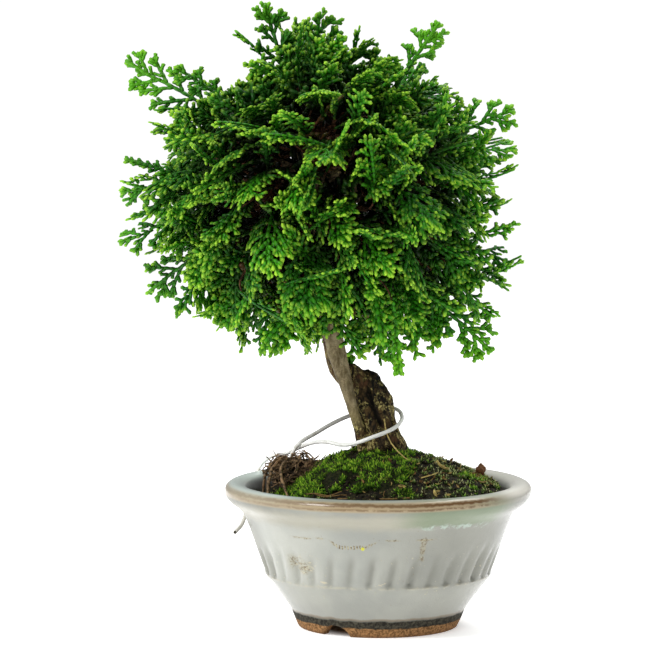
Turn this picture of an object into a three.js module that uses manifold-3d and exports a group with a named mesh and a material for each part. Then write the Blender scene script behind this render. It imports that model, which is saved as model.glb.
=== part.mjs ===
// Hinoki cypress bonsai in a round glazed pot. Millimetres, +Z up.
// Everything is modelled round the pot's own axis, with the table at Z = 0, and the whole group is
// then shifted sideways so that its origin is the middle of the footprint box.
import * as THREE from 'three';
import { mergeVertices } from 'three/addons/utils/BufferGeometryUtils.js';
import Module from 'manifold-3d';

const wasm = await Module();
wasm.setup();

const at = (x, y, z) => new THREE.Vector3(x, y, z);
const radians = THREE.MathUtils.degToRad;
const mix = THREE.MathUtils.lerp;
const smooth = THREE.MathUtils.smoothstep;
const UP = at(0, 0, 1);
const CLEARANCE = 0.3; // gap between two pieces that touch

// ---- driving dimensions ----

const POT = {
  flutes: 36,
  fluteDepth: 1.5,
  fluteFrom: 26, // the flutes end sharply on a ridge here
  fluteTo: 46, // and fade out towards here
  drainRadius: 9,
  floor: 10,
  notches: 3,
  notchAzimuth: -32, // degrees to the left of the front
  notchWidth: 15,
  notchHeight: 5.6,
};

// Outside of the pot as radius and height, from the foot ring up to the crest of the rolled rim.
const POT_OUTSIDE = [
  [31, 5], [33.6, 0], [39.1, 0], [42.3, 8.6], [54.4, 24.9], [55.4, 27.2], [58.6, 36.6], [61.9, 46.4],
  [66.6, 56.8], [71.6, 61], [75, 66], [74, 69.8], [70.4, 70.9],
];
const POT_INSIDE = [
  [0, POT.floor], [38, POT.floor], [59.6, 52], [62, 65], [67.6, 70.9], [67.6, 76], [0, 76],
];

const SCREEN = { radius: 14, thickness: 0.8, pitch: 4.6, bar: 1.2 };

const MOUND = {
  wallLevel: 69.2, // soil level where it meets the pot wall
  height: 19, // of the mound over that level, at the trunk
  flatRadius: 10,
  radius: 61, // radius of the soil just under the rim
  leftDip: 7, // the soil lies lower by this on the far left
  bottom: 11.6,
  bottomRadius: 37.6,
  wallRadius: 57.6,
  wallHeight: 50,
};

const MOSS_BED = {
  middle: radians(-107), // it is thickest in front of the trunk, a little to the left
  fullWithin: radians(47),
  noneBeyond: radians(75),
  far: 57,
  near: 19,
  gap: 0.8,
};

const TANGLE = { x: -39.5, y: 9, height: 12, strands: 6 };

const CROWN = {
  centre: at(-28.6, 0, 213.7),
  depth: 87, // radius from front to back
  sprays: 106,
  branches: 34,
  hollow: 0.46, // the sprays start at this share of the crown's radius
  root: 0.36, // and the branches end at this share of it
  droop: 0.1, // how far, in radians, the sprays arch down from base to tip
  swirl: 1, // share of that by which neighbouring sprays differ
  tilt: 0.9, // a spray leans across this share of the angle that it may take
  meanReach: 92,
  widest: 0.185, // half the angle that one spray may take, in radians
};

// Radius of the crown seen from the front, every 20 degrees anticlockwise from +X.
const CROWN_RADII = [87, 95, 82, 77, 78, 88, 74, 86, 84, 90, 92, 89, 83, 79, 90, 88, 100, 95];

// Sprays that stick out of the crown: angle from +X seen from the front, reach, lean to the back,
// and roll in degrees, where 90 turns the flat of the spray to the front.
const LEADERS = [
  [147, 112, 0.05, 85], [154, 108, -0.2, 40], [108, 97, 0, 70], [57, 99, 0.1, 80], [22, 102, 0, 75],
  [12, 99, -0.25, 30], [-18, 105, 0.05, 45], [-39, 114, -0.1, 80], [-51, 108, -0.15, 35],
  [-68, 98, -0.3, 70], [178, 99, 0.05, 50], [197, 101, 0, -40], [211, 97, 0.15, 65], [243, 88, -0.1, 20],
  [90, 87, -0.15, 60],
];

// Side shoots of one spray: where they leave the rib, where they end, how wide, and on which side.
const SIDE_SHOOTS = [
  [0.08, 0.38, 0.84, 1], [0.22, 0.55, 0.96, -1], [0.36, 0.7, 0.98, 1],
  [0.5, 0.84, 0.84, -1], [0.64, 0.94, 0.62, 1],
];
const TIP_SHOOT = 0.76;
const BLADE = 0.8; // thickness of a spray
const STALK = 1.1; // width of its stalk at the branch

const WIRE_RADIUS = 1;
// Route of the coated tie wire, from the root tangle round the trunk and out over the rim.
const WIRE_ROUTE = [
  [-43, 12, 77], [-42.2, 13, 82.5], [-38.9, 14.5, 87.3], [-30.1, 15.6, 92.8], [-21.4, 15.8, 97.8],
  [-13.6, 15.4, 101.3], [-3, 15, 104], [5.8, 13.2, 105.5], [11.6, 8.6, 104.9], [14, 2.5, 103],
  [13.4, -4, 100.9], [9.6, -10, 98.6], [3.2, -14, 96.4], [-3.4, -15.8, 94.2], [-11.4, -14.4, 92.6],
  [-17.6, -10, 92], [-24.5, -3.4, 91.4], [-30.6, 4.6, 89.6], [-38.9, 17, 85.2], [-46, 26, 81],
  [-52.4, 33.4, 76.6], [-57.4, 39.2, 73.3], [-61.2, 43.6, 72.6], [-63.4, 45.8, 68.4],
  [-63.6, 43, 61.5], [-64.9, 33, 54], [-67, 20.5, 48.8], [-70.4, 9, 45.3],
];

// ---- colours ----

const paint = (color, roughness, metalness = 0) =>
  new THREE.MeshStandardMaterial({ color, roughness, metalness });
const GLAZE = paint(0xb9beb8, 0.3);
const SOIL = paint(0x2b2218, 1);
const MOSS = paint(0x4c7a1f, 1);
const BARK = paint(0x5d5340, 0.9);
const ROOTS = paint(0x3a261c, 0.95);
const FOLIAGE = paint(0x3d7d1c, 0.6);
const COATING = paint(0xdcdcd4, 0.4);
const MESH = paint(0x222222, 0.7);

// ---- shared tools ----

// A repeatable number from 0 to 1 for a pair of counters.
function scatter(a, b) {
  const s = Math.sin(a * 12.9898 + b * 78.233) * 43758.5453;
  return s - Math.floor(s);
}

// The closed surface of points and triangles, turned so that it faces outwards.
function surface(points, triangles) {
  let volume = 0;
  for (const [a, b, c] of triangles) {
    volume += points[a].dot(points[b].clone().cross(points[c]));
  }
  const order = volume < 0 ? triangles.map(([a, b, c]) => [a, c, b]) : triangles;
  const geometry = new THREE.BufferGeometry().setFromPoints(points);
  return geometry.setIndex(order.flat());
}

function solid(geometry) {
  const bare = geometry.clone();
  bare.deleteAttribute('normal');
  bare.deleteAttribute('uv');
  const merged = mergeVertices(bare, 1e-4);
  return new wasm.Manifold(new wasm.Mesh({
    numProp: 3,
    vertProperties: new Float32Array(merged.attributes.position.array),
    triVerts: new Uint32Array(merged.index.array),
  }));
}

function geometryOf(body) {
  const { vertProperties, triVerts } = body.getMesh();
  return new THREE.BufferGeometry()
    .setAttribute('position', new THREE.BufferAttribute(vertProperties, 3))
    .setIndex(new THREE.BufferAttribute(triVerts, 1));
}

const joined = (bodies) => bodies.reduce((all, body) => all.add(body));

// Only the largest piece of a body, without the scraps that a cut can leave.
const largest = (body) => body.decompose().reduce((a, b) => (a.volume() > b.volume() ? a : b));

function piece(name, body, material) {
  const mesh = new THREE.Mesh(body.isBufferGeometry ? body : geometryOf(body), material);
  mesh.name = name;
  return mesh;
}

// A closed body through rings of points, with flat ends. A ring may have half as many points as the
// fullest one: its points then each stand for two of the other's.
function loft(rings) {
  const sides = Math.max(...rings.map((ring) => ring.length));
  const starts = rings.map((_, k) => rings.slice(0, k).reduce((sum, ring) => sum + ring.length, 0));
  const index = (k, i) => starts[k] + Math.floor((i % sides) / (sides / rings[k].length));
  const triangles = [];
  const add = (a, b, c) => {
    if (a !== b && b !== c && c !== a) {
      triangles.push([a, b, c]);
    }
  };
  for (let k = 0; k + 1 < rings.length; k += 1) {
    for (let i = 0; i < sides; i += 1) {
      add(index(k, i), index(k, i + 1), index(k + 1, i + 1));
      add(index(k, i), index(k + 1, i + 1), index(k + 1, i));
    }
  }
  const last = starts[rings.length - 1];
  for (let i = 1; i + 1 < rings[0].length; i += 1) {
    add(0, i + 1, i);
  }
  for (let i = 1; i + 1 < rings[rings.length - 1].length; i += 1) {
    add(last, last + i, last + i + 1);
  }
  return solid(surface(rings.flat(), triangles));
}

// A round stem along points, with a radius at each, lightly ridged by rough.
function stem(points, radii, sides, rough = 0) {
  const curve = new THREE.CatmullRomCurve3(points);
  const rings = points.map((centre, k) => {
    const along = curve.getTangent(k / (points.length - 1)).normalize();
    const side = Math.abs(along.z) > 0.9 ? at(1, 0, 0) : UP;
    const u = along.clone().cross(side).cross(along).normalize();
    const v = along.clone().cross(u);
    return Array.from({ length: sides }, (_, i) => {
      const turn = (i / sides) * 2 * Math.PI;
      const r = radii[k] * (1 + rough * (scatter(k, i) - 0.5));
      return centre.clone().addScaledVector(u, r * Math.cos(turn)).addScaledVector(v, r * Math.sin(turn));
    });
  });
  return loft(rings);
}

// A body of revolution whose profile of radius and height starts and ends on the axis.
function turned(profile, segments) {
  const points = profile.map(([r, z]) => new THREE.Vector2(r, z));
  return solid(new THREE.LatheGeometry(points, segments).rotateX(Math.PI / 2));
}

// A ring of points round the axis, where radius and height may follow the angle.
function ringOf(count, radius, height) {
  return Array.from({ length: count }, (_, i) => {
    const turn = (i / count) * 2 * Math.PI;
    const r = radius(turn);
    const [x, y] = [r * Math.cos(turn), r * Math.sin(turn)];
    return at(x, y, height(x, y));
  });
}

// ---- pot ----

// How far a flute sinks into the wall at a height and an angle round the pot.
function fluteSink(z, turn) {
  const band = 1 - smooth(z, POT.fluteTo - 10, POT.fluteTo);
  return POT.fluteDepth * band * (0.5 - 0.5 * Math.cos(POT.flutes * turn));
}

const isFluted = (z) => z > POT.fluteFrom && z < POT.fluteTo;

const potRing = ([r, z]) => (isFluted(z)
  ? ringOf(2 * POT.flutes, (turn) => r - fluteSink(z, turn), () => z)
  : ringOf(POT.flutes, () => r, () => z));

// An arched gap through the foot ring, on one side of it.
function footNotch(azimuth) {
  const half = POT.notchWidth / 2;
  const arch = new THREE.Shape();
  arch.moveTo(-half, -2);
  arch.lineTo(half, -2);
  arch.lineTo(half * 0.93, 1);
  arch.bezierCurveTo(half * 0.6, POT.notchHeight, half * 0.5, POT.notchHeight, 0, POT.notchHeight);
  arch.bezierCurveTo(-half * 0.5, POT.notchHeight, -half * 0.6, POT.notchHeight, -half * 0.93, 1);
  const block = new THREE.ExtrudeGeometry(arch, { depth: 20, bevelEnabled: false, curveSegments: 4 });
  return solid(block.rotateX(Math.PI / 2).translate(0, -27, 0).rotateZ(radians(azimuth)));
}

function makePot() {
  const drain = new THREE.CylinderGeometry(POT.drainRadius, POT.drainRadius, 30, 18);
  let body = loft(POT_OUTSIDE.map(potRing)).subtract(turned(POT_INSIDE, 36));
  body = body.subtract(solid(drain.rotateX(Math.PI / 2)));
  for (let i = 0; i < POT.notches; i += 1) {
    body = body.subtract(footNotch(POT.notchAzimuth + (360 / POT.notches) * i));
  }
  return body;
}

// Flat plastic mesh that keeps the soil in over the drain hole.
function makeDrainScreen() {
  const { radius, thickness, pitch, bar } = SCREEN;
  let plate = solid(new THREE.CylinderGeometry(radius, radius, thickness, 16).rotateX(Math.PI / 2));
  for (const i of [-1, 0, 1]) {
    for (const j of [-1, 0, 1]) {
      const hole = new THREE.BoxGeometry(pitch - bar, pitch - bar, 3 * thickness);
      plate = plate.subtract(solid(hole.translate(i * pitch, j * pitch, 0)));
    }
  }
  return plate.translate(0, 0, POT.floor + CLEARANCE + thickness / 2);
}

// ---- soil and moss ----

const SOIL_TURNS = 32;
const SOIL_RADII = [12, 18, 25, 32, 39, 46, 53, MOUND.radius];

// Height of the soil mound at a place in the pot.
function soilHeight(x, y) {
  const r = Math.hypot(x, y);
  const share = Math.min(1, Math.max(0, r - MOUND.flatRadius) / (MOUND.radius - MOUND.flatRadius));
  const mound = MOUND.height * (1 - share ** 1.35) + 0.6 * Math.sin(x * 0.21) * Math.cos(y * 0.17);
  const left = smooth(-x - 0.25 * y, 26, 56) * MOUND.leftDip;
  return MOUND.wallLevel + mound - left;
}

function makeSoil() {
  const rings = [
    ringOf(SOIL_TURNS / 2, () => MOUND.bottomRadius, () => MOUND.bottom),
    ringOf(SOIL_TURNS / 2, () => MOUND.wallRadius, () => MOUND.wallHeight),
    ...[...SOIL_RADII].reverse().map((r) => ringOf(SOIL_TURNS, () => r, soilHeight)),
  ];
  return loft(rings).subtract(trunkFoot(CLEARANCE));
}

// How far the moss spreads from the trunk: to the rim on the left and in front, not far behind.
function mossReach(turn) {
  const apart = Math.abs(turn - MOSS_BED.middle) % (2 * Math.PI);
  const off = Math.min(apart, 2 * Math.PI - apart);
  return mix(MOSS_BED.far, MOSS_BED.near, smooth(off, MOSS_BED.fullWithin, MOSS_BED.noneBeyond));
}

// The moss carpet: an uneven skin over the mound, thin at its edge.
function makeMoss() {
  const steps = [0, 0.5, 1];
  const ring = (step, lift) => ringOf(
    SOIL_TURNS,
    (turn) => mix(MOUND.flatRadius, mossReach(turn), step),
    (x, y) => soilHeight(x, y) + lift(x, y),
  );
  const tuft = (x, y) => MOSS_BED.gap + 1.3 + 2.2 * scatter(Math.round(x), Math.round(y));
  const rings = [
    ...steps.map((step) => ring(step, () => MOSS_BED.gap)),
    ...[...steps].reverse().map((step) => ring(step * 0.98, tuft)),
  ];
  const mound = makeSoil().translate(0, 0, CLEARANCE);
  return largest(loft(rings).subtract(mound).subtract(trunkFoot(CLEARANCE)));
}

// ---- root tangle ----

// A nest of thin dead roots on the left of the mound: strands that arch over a small matted heart.
function makeRootTangle(wire) {
  const onMound = (x, y, lift) => at(x, y, soilHeight(x, y) + lift);
  const heart = new THREE.IcosahedronGeometry(1, 1);
  const position = heart.attributes.position;
  for (let i = 0; i < position.count; i += 1) {
    const [x, y, z] = [position.getX(i), position.getY(i), position.getZ(i)];
    const bump = 1 + 0.14 * Math.sin(9 * x + 4 * z) * Math.cos(8 * y);
    const place = onMound(TANGLE.x + 12.5 * x * bump, TANGLE.y + 10 * y * bump, 4.5 + 6.5 * z * bump);
    position.setXYZ(i, place.x, place.y, place.z);
  }
  const strands = Array.from({ length: TANGLE.strands }, (_, i) => {
    const turn = (i / TANGLE.strands) * 2 * Math.PI + 0.5 * scatter(i, 1);
    const reach = 12.5 + 3 * scatter(i, 2);
    const swing = 1.2 + 0.5 * scatter(i, 3);
    const knot = (round, out, lift) => onMound(
      TANGLE.x + out * reach * Math.cos(turn + round * swing),
      TANGLE.y + out * 0.8 * reach * Math.sin(turn + round * swing),
      lift,
    );
    const points = [
      knot(0, 1.08, 0.8), knot(0.35, 0.95, 0.7 * TANGLE.height), knot(0.8, 0.62, TANGLE.height),
      knot(1.25, 0.6, 4),
    ];
    return stem(points, [1.1, 1.2, 1.1, 0.8], 3);
  });
  const nest = joined([solid(heart), ...strands]);
  return largest(nest.subtract(makeSoil().translate(0, 0, CLEARANCE)).subtract(wire));
}

// ---- tie wire ----

function makeWire(radius) {
  const section = new THREE.Shape();
  const sides = 6;
  for (let i = 0; i < sides; i += 1) {
    const turn = (i / sides) * 2 * Math.PI;
    const [x, y] = [radius * Math.cos(turn), radius * Math.sin(turn)];
    section[i ? 'lineTo' : 'moveTo'](x, y);
  }
  const route = new THREE.CatmullRomCurve3(WIRE_ROUTE.map((p) => at(...p)));
  return new THREE.ExtrudeGeometry(section, { extrudePath: route, steps: 48, bevelEnabled: false });
}

// ---- trunk and branches ----

// The old trunk from below the soil to its broken top: height, centre and half widths of each ring.
const OLD_TRUNK = [
  [75, 1.2, 0, 10.4, 8.6], [84, 1.3, 0, 11.6, 9.8], [89, 1.1, 0, 12, 10.4], [94, 0.2, 0, 10.4, 9.6],
  [100.8, -1, 0.4, 9.4, 9.2], [106, -1.1, 0.8, 9.2, 9], [111, -1.6, 1.4, 8.6, 8.8],
  [117, -3.8, 1.8, 7.4, 7.8], [121.5, -5.6, 2, 5.6, 6], [124, -6.6, 2.2, 3.4, 4],
];
const CLEFT = { side: 7, from: 98, to: 116, depth: 2.6 }; // the dark fold down the front

function oldTrunkRings(rows, gap) {
  const sides = 10;
  return rows.map(([z, x, y, rx, ry], k) => Array.from({ length: sides }, (_, i) => {
    const turn = ((i + 0.35) / sides) * 2 * Math.PI;
    const ridge = 1 + 0.16 * (scatter(k + 3, i) - 0.45);
    const sunk = i === CLEFT.side && z > CLEFT.from && z < CLEFT.to ? CLEFT.depth : 0;
    return at(
      x + (rx * ridge + gap - sunk) * Math.cos(turn),
      y + (ry * ridge + gap - sunk) * Math.sin(turn),
      k === 0 ? z - gap : z,
    );
  }));
}

// The part of the trunk that stands in the soil, made wider by a gap for the hole it stands in.
function trunkFoot(gap) {
  return loft(oldTrunkRings(OLD_TRUNK.slice(0, 5), gap));
}

// The smooth live stem in front, which leans to the left and runs on up through the crown.
const LIVE_STEM = [
  [-7.6, -4.6, 93.5, 2.4], [-10, -6.6, 99.8, 2.7], [-11.9, -7.3, 105.2, 3], [-13.5, -7, 111.6, 3.4],
  [-15.9, -6, 118.5, 3.9], [-17.6, -5, 123.7, 4.2], [-20.4, -3.5, 134.7, 4.8], [-23, -2, 147, 5],
  [-26, 0, 165, 4.7], [-28.5, 0.5, 190, 4], [-29.5, 0, 213, 3.2], [-30, -1, 232, 2.4],
];
// The rough old limb behind it, which joins it inside the crown.
const OLD_LIMB = [
  [-4, 3.6, 108, 4.4], [-10, 4.6, 116, 4.7], [-17, 4.8, 124, 4.6], [-21.6, 4, 131, 4.3],
  [-24, 3, 141, 3.8], [-26.6, 1.4, 156, 3.2], [-27.4, 0.6, 166, 2.4],
];

const stemThrough = (rows, sides, rough) =>
  stem(rows.map(([x, y, z]) => at(x, y, z)), rows.map((row) => row[3]), sides, rough);

// The point of the live stem at a height inside the crown.
function onLiveStem(z) {
  const above = LIVE_STEM.findIndex((row) => row[2] >= z);
  const [a, b] = [LIVE_STEM[above - 1], LIVE_STEM[above]];
  const share = (z - a[2]) / (b[2] - a[2]);
  return at(mix(a[0], b[0], share), mix(a[1], b[1], share), z);
}

// A side branch from the live stem to where a leafy branch begins, ending square to it.
function sideBranch({ root, outward }) {
  const bend = root.clone().addScaledVector(outward, -13);
  const stemHeight = bend.z - 0.35 * Math.hypot(bend.x - CROWN.centre.x, bend.y);
  const start = onLiveStem(Math.min(Math.max(stemHeight, 152), 228));
  const end = root.clone().addScaledVector(outward, -CLEARANCE);
  const curve = new THREE.QuadraticBezierCurve3(start, bend, end);
  return stem(curve.getPoints(2), [2.8, 2.2, 1.6], 3);
}

function makeWood(branches) {
  return joined([
    loft(oldTrunkRings(OLD_TRUNK, 0)),
    stemThrough(LIVE_STEM, 8, 0.08),
    stemThrough(OLD_LIMB, 6, 0.2),
    ...branches.map(sideBranch),
  ]);
}

// ---- crown ----

// Directions spread evenly over a sphere, pushed apart, round some that stay where they are.
function spreadDirections(count, pinned) {
  const golden = Math.PI * (3 - Math.sqrt(5));
  const all = pinned.map((p) => p.clone());
  const free = count - pinned.length;
  for (let i = 0; i < free; i += 1) {
    const z = 1 - (2 * i + 1) / free;
    const ring = Math.sqrt(1 - z * z);
    all.push(at(ring * Math.cos(golden * i), ring * Math.sin(golden * i), z));
  }
  const rounds = 90;
  for (let round = 0; round < rounds; round += 1) {
    const pace = 0.0016 * (1 - round / rounds);
    const pushes = all.map((p, i) => {
      const push = at(0, 0, 0);
      all.forEach((q, j) => {
        if (j !== i) {
          const away = p.clone().sub(q);
          push.addScaledVector(away, 1 / (away.length() ** 4 + 1e-6));
        }
      });
      return push;
    });
    for (let i = pinned.length; i < all.length; i += 1) {
      const step = pushes[i].multiplyScalar(pace);
      all[i].add(step.clampLength(0, 0.04)).normalize();
    }
  }
  return all;
}

// The crown's radius in a direction: its front outline, drawn in towards its depth.
function crownRadius(direction) {
  const turns = CROWN_RADII.length;
  const turn = ((Math.atan2(direction.z, direction.x) / (2 * Math.PI) + 1) % 1) * turns;
  const [low, share] = [Math.floor(turn) % turns, turn % 1];
  const flat = mix(CROWN_RADII[low], CROWN_RADII[(low + 1) % turns], share);
  const across = Math.hypot(direction.x, direction.z) / flat;
  return 1 / Math.hypot(across, direction.y / CROWN.depth);
}

const leaderDirection = ([angle, , lean]) => {
  const turn = radians(angle);
  return at(Math.cos(turn), lean, Math.sin(turn)).normalize();
};

const downTheTrunk = at(8.4, 0, -76.7).normalize();

// Every spray of the crown: its direction, reach, roll and the angle that it may fill.
function laySprays() {
  const pinned = [downTheTrunk, ...LEADERS.map(leaderDirection)];
  const directions = spreadDirections(CROWN.sprays + 1, pinned);
  const sprays = [];
  directions.forEach((out, i) => {
    if (i === 0) {
      return;
    }
    const nearest = Math.min(...directions.map((other, j) => (j === i ? 9 : out.angleTo(other))));
    const leader = LEADERS[i - 1];
    const level = Math.abs(out.z) > 0.93 ? at(1, 0, 0) : UP.clone().cross(out).normalize();
    const roll = radians(leader ? leader[3] : (scatter(i, 2) - 0.5) * 130);
    const flatSide = level.clone().sub(out.clone().multiplyScalar(level.dot(out))).normalize();
    const upSide = out.clone().cross(flatSide);
    const side = flatSide.clone().multiplyScalar(Math.cos(roll)).addScaledVector(upSide, Math.sin(roll));
    sprays.push({
      out,
      side,
      face: out.clone().cross(side),
      reach: leader ? leader[1] : crownRadius(out) * (0.93 + 0.09 * scatter(i, 3)),
      spread: Math.min(CROWN.widest, nearest / 2 - 0.008),
      tilt: leader ? 0.2 : CROWN.tilt,
    });
  });
  return sprays;
}

// The crown's own bend. Each shell round the crown's centre slides over itself, less towards the
// tips, so that the sprays start out upwards and arch over, each a little differently.
function bent(point) {
  const from = point.clone().sub(CROWN.centre);
  const r = from.length();
  const slide = CROWN.droop * (1 - (r / CROWN.meanReach) ** 2);
  const way = from.clone().divideScalar(r);
  const swirl = at(Math.sin(3 * way.z + 0.5), Math.sin(3 * way.x + 2), Math.sin(3 * way.y + 4));
  const pull = swirl.multiplyScalar(CROWN.swirl).add(UP);
  pull.addScaledVector(way, -pull.dot(way));
  return way.addScaledVector(pull, slide).normalize().multiplyScalar(r).add(CROWN.centre);
}

// A point of a spray: along from 0 at its base to 1 at its tip, across from -1 to 1, and lift in mm.
function onSpray(spray, along, across, lift) {
  const r = spray.reach * mix(CROWN.hollow, 1, Math.max(0, along) ** 0.85);
  const lean = spray.tilt * (1 - 2 * along) - 0.25 * across * across;
  const direction = spray.out.clone().addScaledVector(spray.side, Math.tan(across * spray.spread));
  direction.addScaledVector(spray.face, Math.tan(lean * spray.spread));
  const place = CROWN.centre.clone().addScaledVector(direction.normalize(), r);
  return bent(place).addScaledVector(spray.face, lift);
}

// The cut outline of a spray, as pairs of along and across, once round.
function sprayOutline() {
  const rib = 0.09;
  const edge = (side) => {
    const shoots = SIDE_SHOOTS.filter((shoot) => shoot[3] === side);
    return shoots.flatMap(([start, end, width], i) => {
      const valley = i ? [] : [[start, side * rib]];
      const next = shoots[i + 1] ? shoots[i + 1][0] : TIP_SHOOT;
      return [...valley, [end - 0.15, side * width], [end, side * width * 0.8], [next + 0.04, side * rib]];
    });
  };
  return [...edge(1), [0.98, 0.12], [0.97, -0.14], ...edge(-1).reverse()];
}

// One spray with its flat stalk, which runs back to the heart of the branch that carries it.
function blade(spray, heart) {
  const outline = sprayOutline();
  const flat = [...outline, [-0.2, -0.05], [-0.2, 0.05]].map(([x, y]) => new THREE.Vector2(x, y));
  const faces = THREE.ShapeUtils.triangulateShape(flat, []);
  const count = flat.length;
  const points = [BLADE / 2, -BLADE / 2].flatMap((lift) => [
    ...outline.map(([along, across]) => onSpray(spray, along, across, lift)),
    ...[-STALK, STALK].map((half) => heart.clone().addScaledVector(spray.side, half / 2)
      .addScaledVector(spray.face, 1.6 * lift)),
  ]);
  const triangles = faces.flatMap(([a, b, c]) => [[a, b, c], [a + count, c + count, b + count]]);
  const turning = THREE.ShapeUtils.isClockWise(flat);
  for (let i = 0; i < count; i += 1) {
    const j = (i + 1) % count;
    const [p, q] = turning ? [i, j] : [j, i];
    triangles.push([p, q, q + count], [p, q + count, p + count]);
  }
  return solid(surface(points, triangles));
}

// The sprays shared out between branches, each to the branch that points most nearly its way.
function layBranches(sprays) {
  let heads = spreadDirections(CROWN.branches + 1, [downTheTrunk]).slice(1);
  let groups = [];
  for (let round = 0; round < 12; round += 1) {
    groups = heads.map(() => []);
    for (const spray of sprays) {
      const turns = heads.map((head) => head.dot(spray.out));
      groups[turns.indexOf(Math.max(...turns))].push(spray);
    }
    heads = heads.map((head, i) => groups[i].reduce((sum, s) => sum.add(s.out), at(0, 0, 0)).normalize());
  }
  return heads.map((head, i) => {
    const reach = groups[i].reduce((sum, s) => sum + s.reach, 0) / groups[i].length;
    const place = (r) => bent(CROWN.centre.clone().addScaledVector(head, r));
    const root = place(CROWN.root * reach);
    const outward = place(CROWN.root * reach + 3).sub(root).normalize();
    return { root, outward, sprays: groups[i] };
  });
}

function leafyBranch({ root, outward, sprays }) {
  const heart = root.clone().addScaledVector(outward, 2);
  const knob = stem([root, root.clone().addScaledVector(outward, 4.4)], [2.2, 2.2], 4);
  return joined([knob, ...sprays.map((spray) => blade(spray, heart))]);
}

// ---- the whole tree ----

function build() {
  const branches = layBranches(laySprays());
  const wireHole = solid(makeWire(WIRE_RADIUS + 0.4));
  const parts = [
    piece('pot', makePot(), GLAZE),
    piece('drain_screen', makeDrainScreen(), MESH),
    piece('soil', makeSoil(), SOIL),
    piece('moss', makeMoss(), MOSS),
    piece('root_tangle', makeRootTangle(wireHole), ROOTS),
    piece('tie_wire', makeWire(WIRE_RADIUS), COATING),
    piece('trunk', makeWood(branches), BARK),
    ...branches.map((branch, i) =>
      piece(`leafy_branch_${String(i + 1).padStart(2, '0')}`, leafyBranch(branch), FOLIAGE)),
  ];
  const tree = new THREE.Group().add(...parts);
  const box = new THREE.Box3();
  parts.filter(({ name }) => name !== 'tie_wire').forEach((part) => box.expandByObject(part, true));
  tree.position.set(-(box.min.x + box.max.x) / 2, -(box.min.y + box.max.y) / 2, 0);
  return tree;
}

export default build();
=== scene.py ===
# Hinoki cypress bonsai in a round glazed pot: the looks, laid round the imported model.
# Lengths in the sections are millimetres round the pot's axis, with the table at height 0.
import math

import bpy
import numpy as np
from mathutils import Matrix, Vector, noise


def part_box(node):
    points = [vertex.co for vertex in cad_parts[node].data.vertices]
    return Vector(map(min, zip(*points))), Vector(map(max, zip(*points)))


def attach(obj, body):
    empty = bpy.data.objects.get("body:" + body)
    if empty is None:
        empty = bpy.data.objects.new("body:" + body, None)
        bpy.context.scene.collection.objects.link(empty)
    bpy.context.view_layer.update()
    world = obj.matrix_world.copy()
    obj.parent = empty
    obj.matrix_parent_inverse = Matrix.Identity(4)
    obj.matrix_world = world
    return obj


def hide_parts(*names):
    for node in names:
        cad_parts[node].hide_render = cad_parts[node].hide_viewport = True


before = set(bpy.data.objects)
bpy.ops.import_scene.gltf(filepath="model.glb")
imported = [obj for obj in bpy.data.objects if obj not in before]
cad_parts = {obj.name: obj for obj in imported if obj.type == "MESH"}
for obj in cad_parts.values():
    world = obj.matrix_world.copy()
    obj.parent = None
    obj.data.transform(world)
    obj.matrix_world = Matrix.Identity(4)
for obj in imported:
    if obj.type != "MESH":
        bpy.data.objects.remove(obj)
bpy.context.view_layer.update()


# ---- camera ----
# It stands 1.76 m in front of the pot on a long lens, level with the top of the crown, and looks
# a little down.

MM = 0.001
CAMERA_STAND, CAMERA_PITCH = (-26, -1760, 304), math.radians(5.085)
LENS, SENSOR = 201.1, 36

pot_low, pot_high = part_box("pot")
POT_AXIS = Vector(((pot_low.x + pot_high.x) / 2, (pot_low.y + pot_high.y) / 2, 0))


def spot(x, y, z):
    """A place round the pot's axis, given in millimetres."""
    return POT_AXIS + Vector((x, y, z)) * MM


lens = bpy.data.cameras.new("camera")
lens.lens = LENS
lens.sensor_width = SENSOR
camera = bpy.data.objects.new("camera", lens)
bpy.context.collection.objects.link(camera)
camera.location = spot(*CAMERA_STAND)
camera.rotation_euler = (math.pi / 2 - CAMERA_PITCH, 0, 0)
bpy.context.scene.camera = camera
bpy.context.scene.view_settings.view_transform = "Standard"


# ---- tie wire ----
# Thin iron wire in a white plastic coat, with which the tree was once tied into its pot. It comes
# out of the root tangle, goes round the trunk and ends, cut off, in the air outside the rim.

WIRE_RADIUS, WIRE_LENGTH = 1, 244
WIRE_ROUTE = [
    (-43, 12, 77), (-42.2, 13, 82.5), (-38.9, 14.5, 87.3), (-30.1, 15.6, 92.8), (-21.4, 15.8, 97.8),
    (-13.6, 15.4, 101.3), (-3, 15, 104), (4.6, 13.4, 105.5), (9.4, 8.8, 104.9), (11.4, 2.5, 103),
    (11, -4.6, 100.9), (8.2, -10.4, 98.6), (3, -14, 96.4), (-3.4, -15.8, 94.2), (-11.4, -14.4, 91.2),
    (-17.6, -10, 89.9), (-24.5, -3.4, 90.4), (-30.6, 4.6, 89.4), (-38.9, 17, 85.2), (-46, 26, 81),
    (-52.4, 33.4, 79), (-55.4, 39.6, 76.4), (-58, 43.6, 73.4), (-60.6, 46.8, 68.4),
    (-62.6, 44.2, 61.5), (-64.9, 33, 52.8), (-67, 20.5, 46.8), (-70.2, 9, 44.3),
]
CORE_RADIUS, CORE_LONG, CORE_SUNK, CORE_BEVEL = 0.78, 1.2, 0.3, 0.12
# The hanging end is grimy below these heights, and the loop has painted shade from this depth and height
# on.
GRIMY_END, LOOP_BACK, LOOP_HEIGHT = (50, 64), (9, 13), (86, 90)
COAT_WHITE, COAT_GRIME, COAT_PAINTED_SHADE = (252, 252, 248), (176, 168, 146), (112, 106, 94)
IRON_DARK, IRON_PALE = (44, 44, 36), (70, 66, 50)


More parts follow.
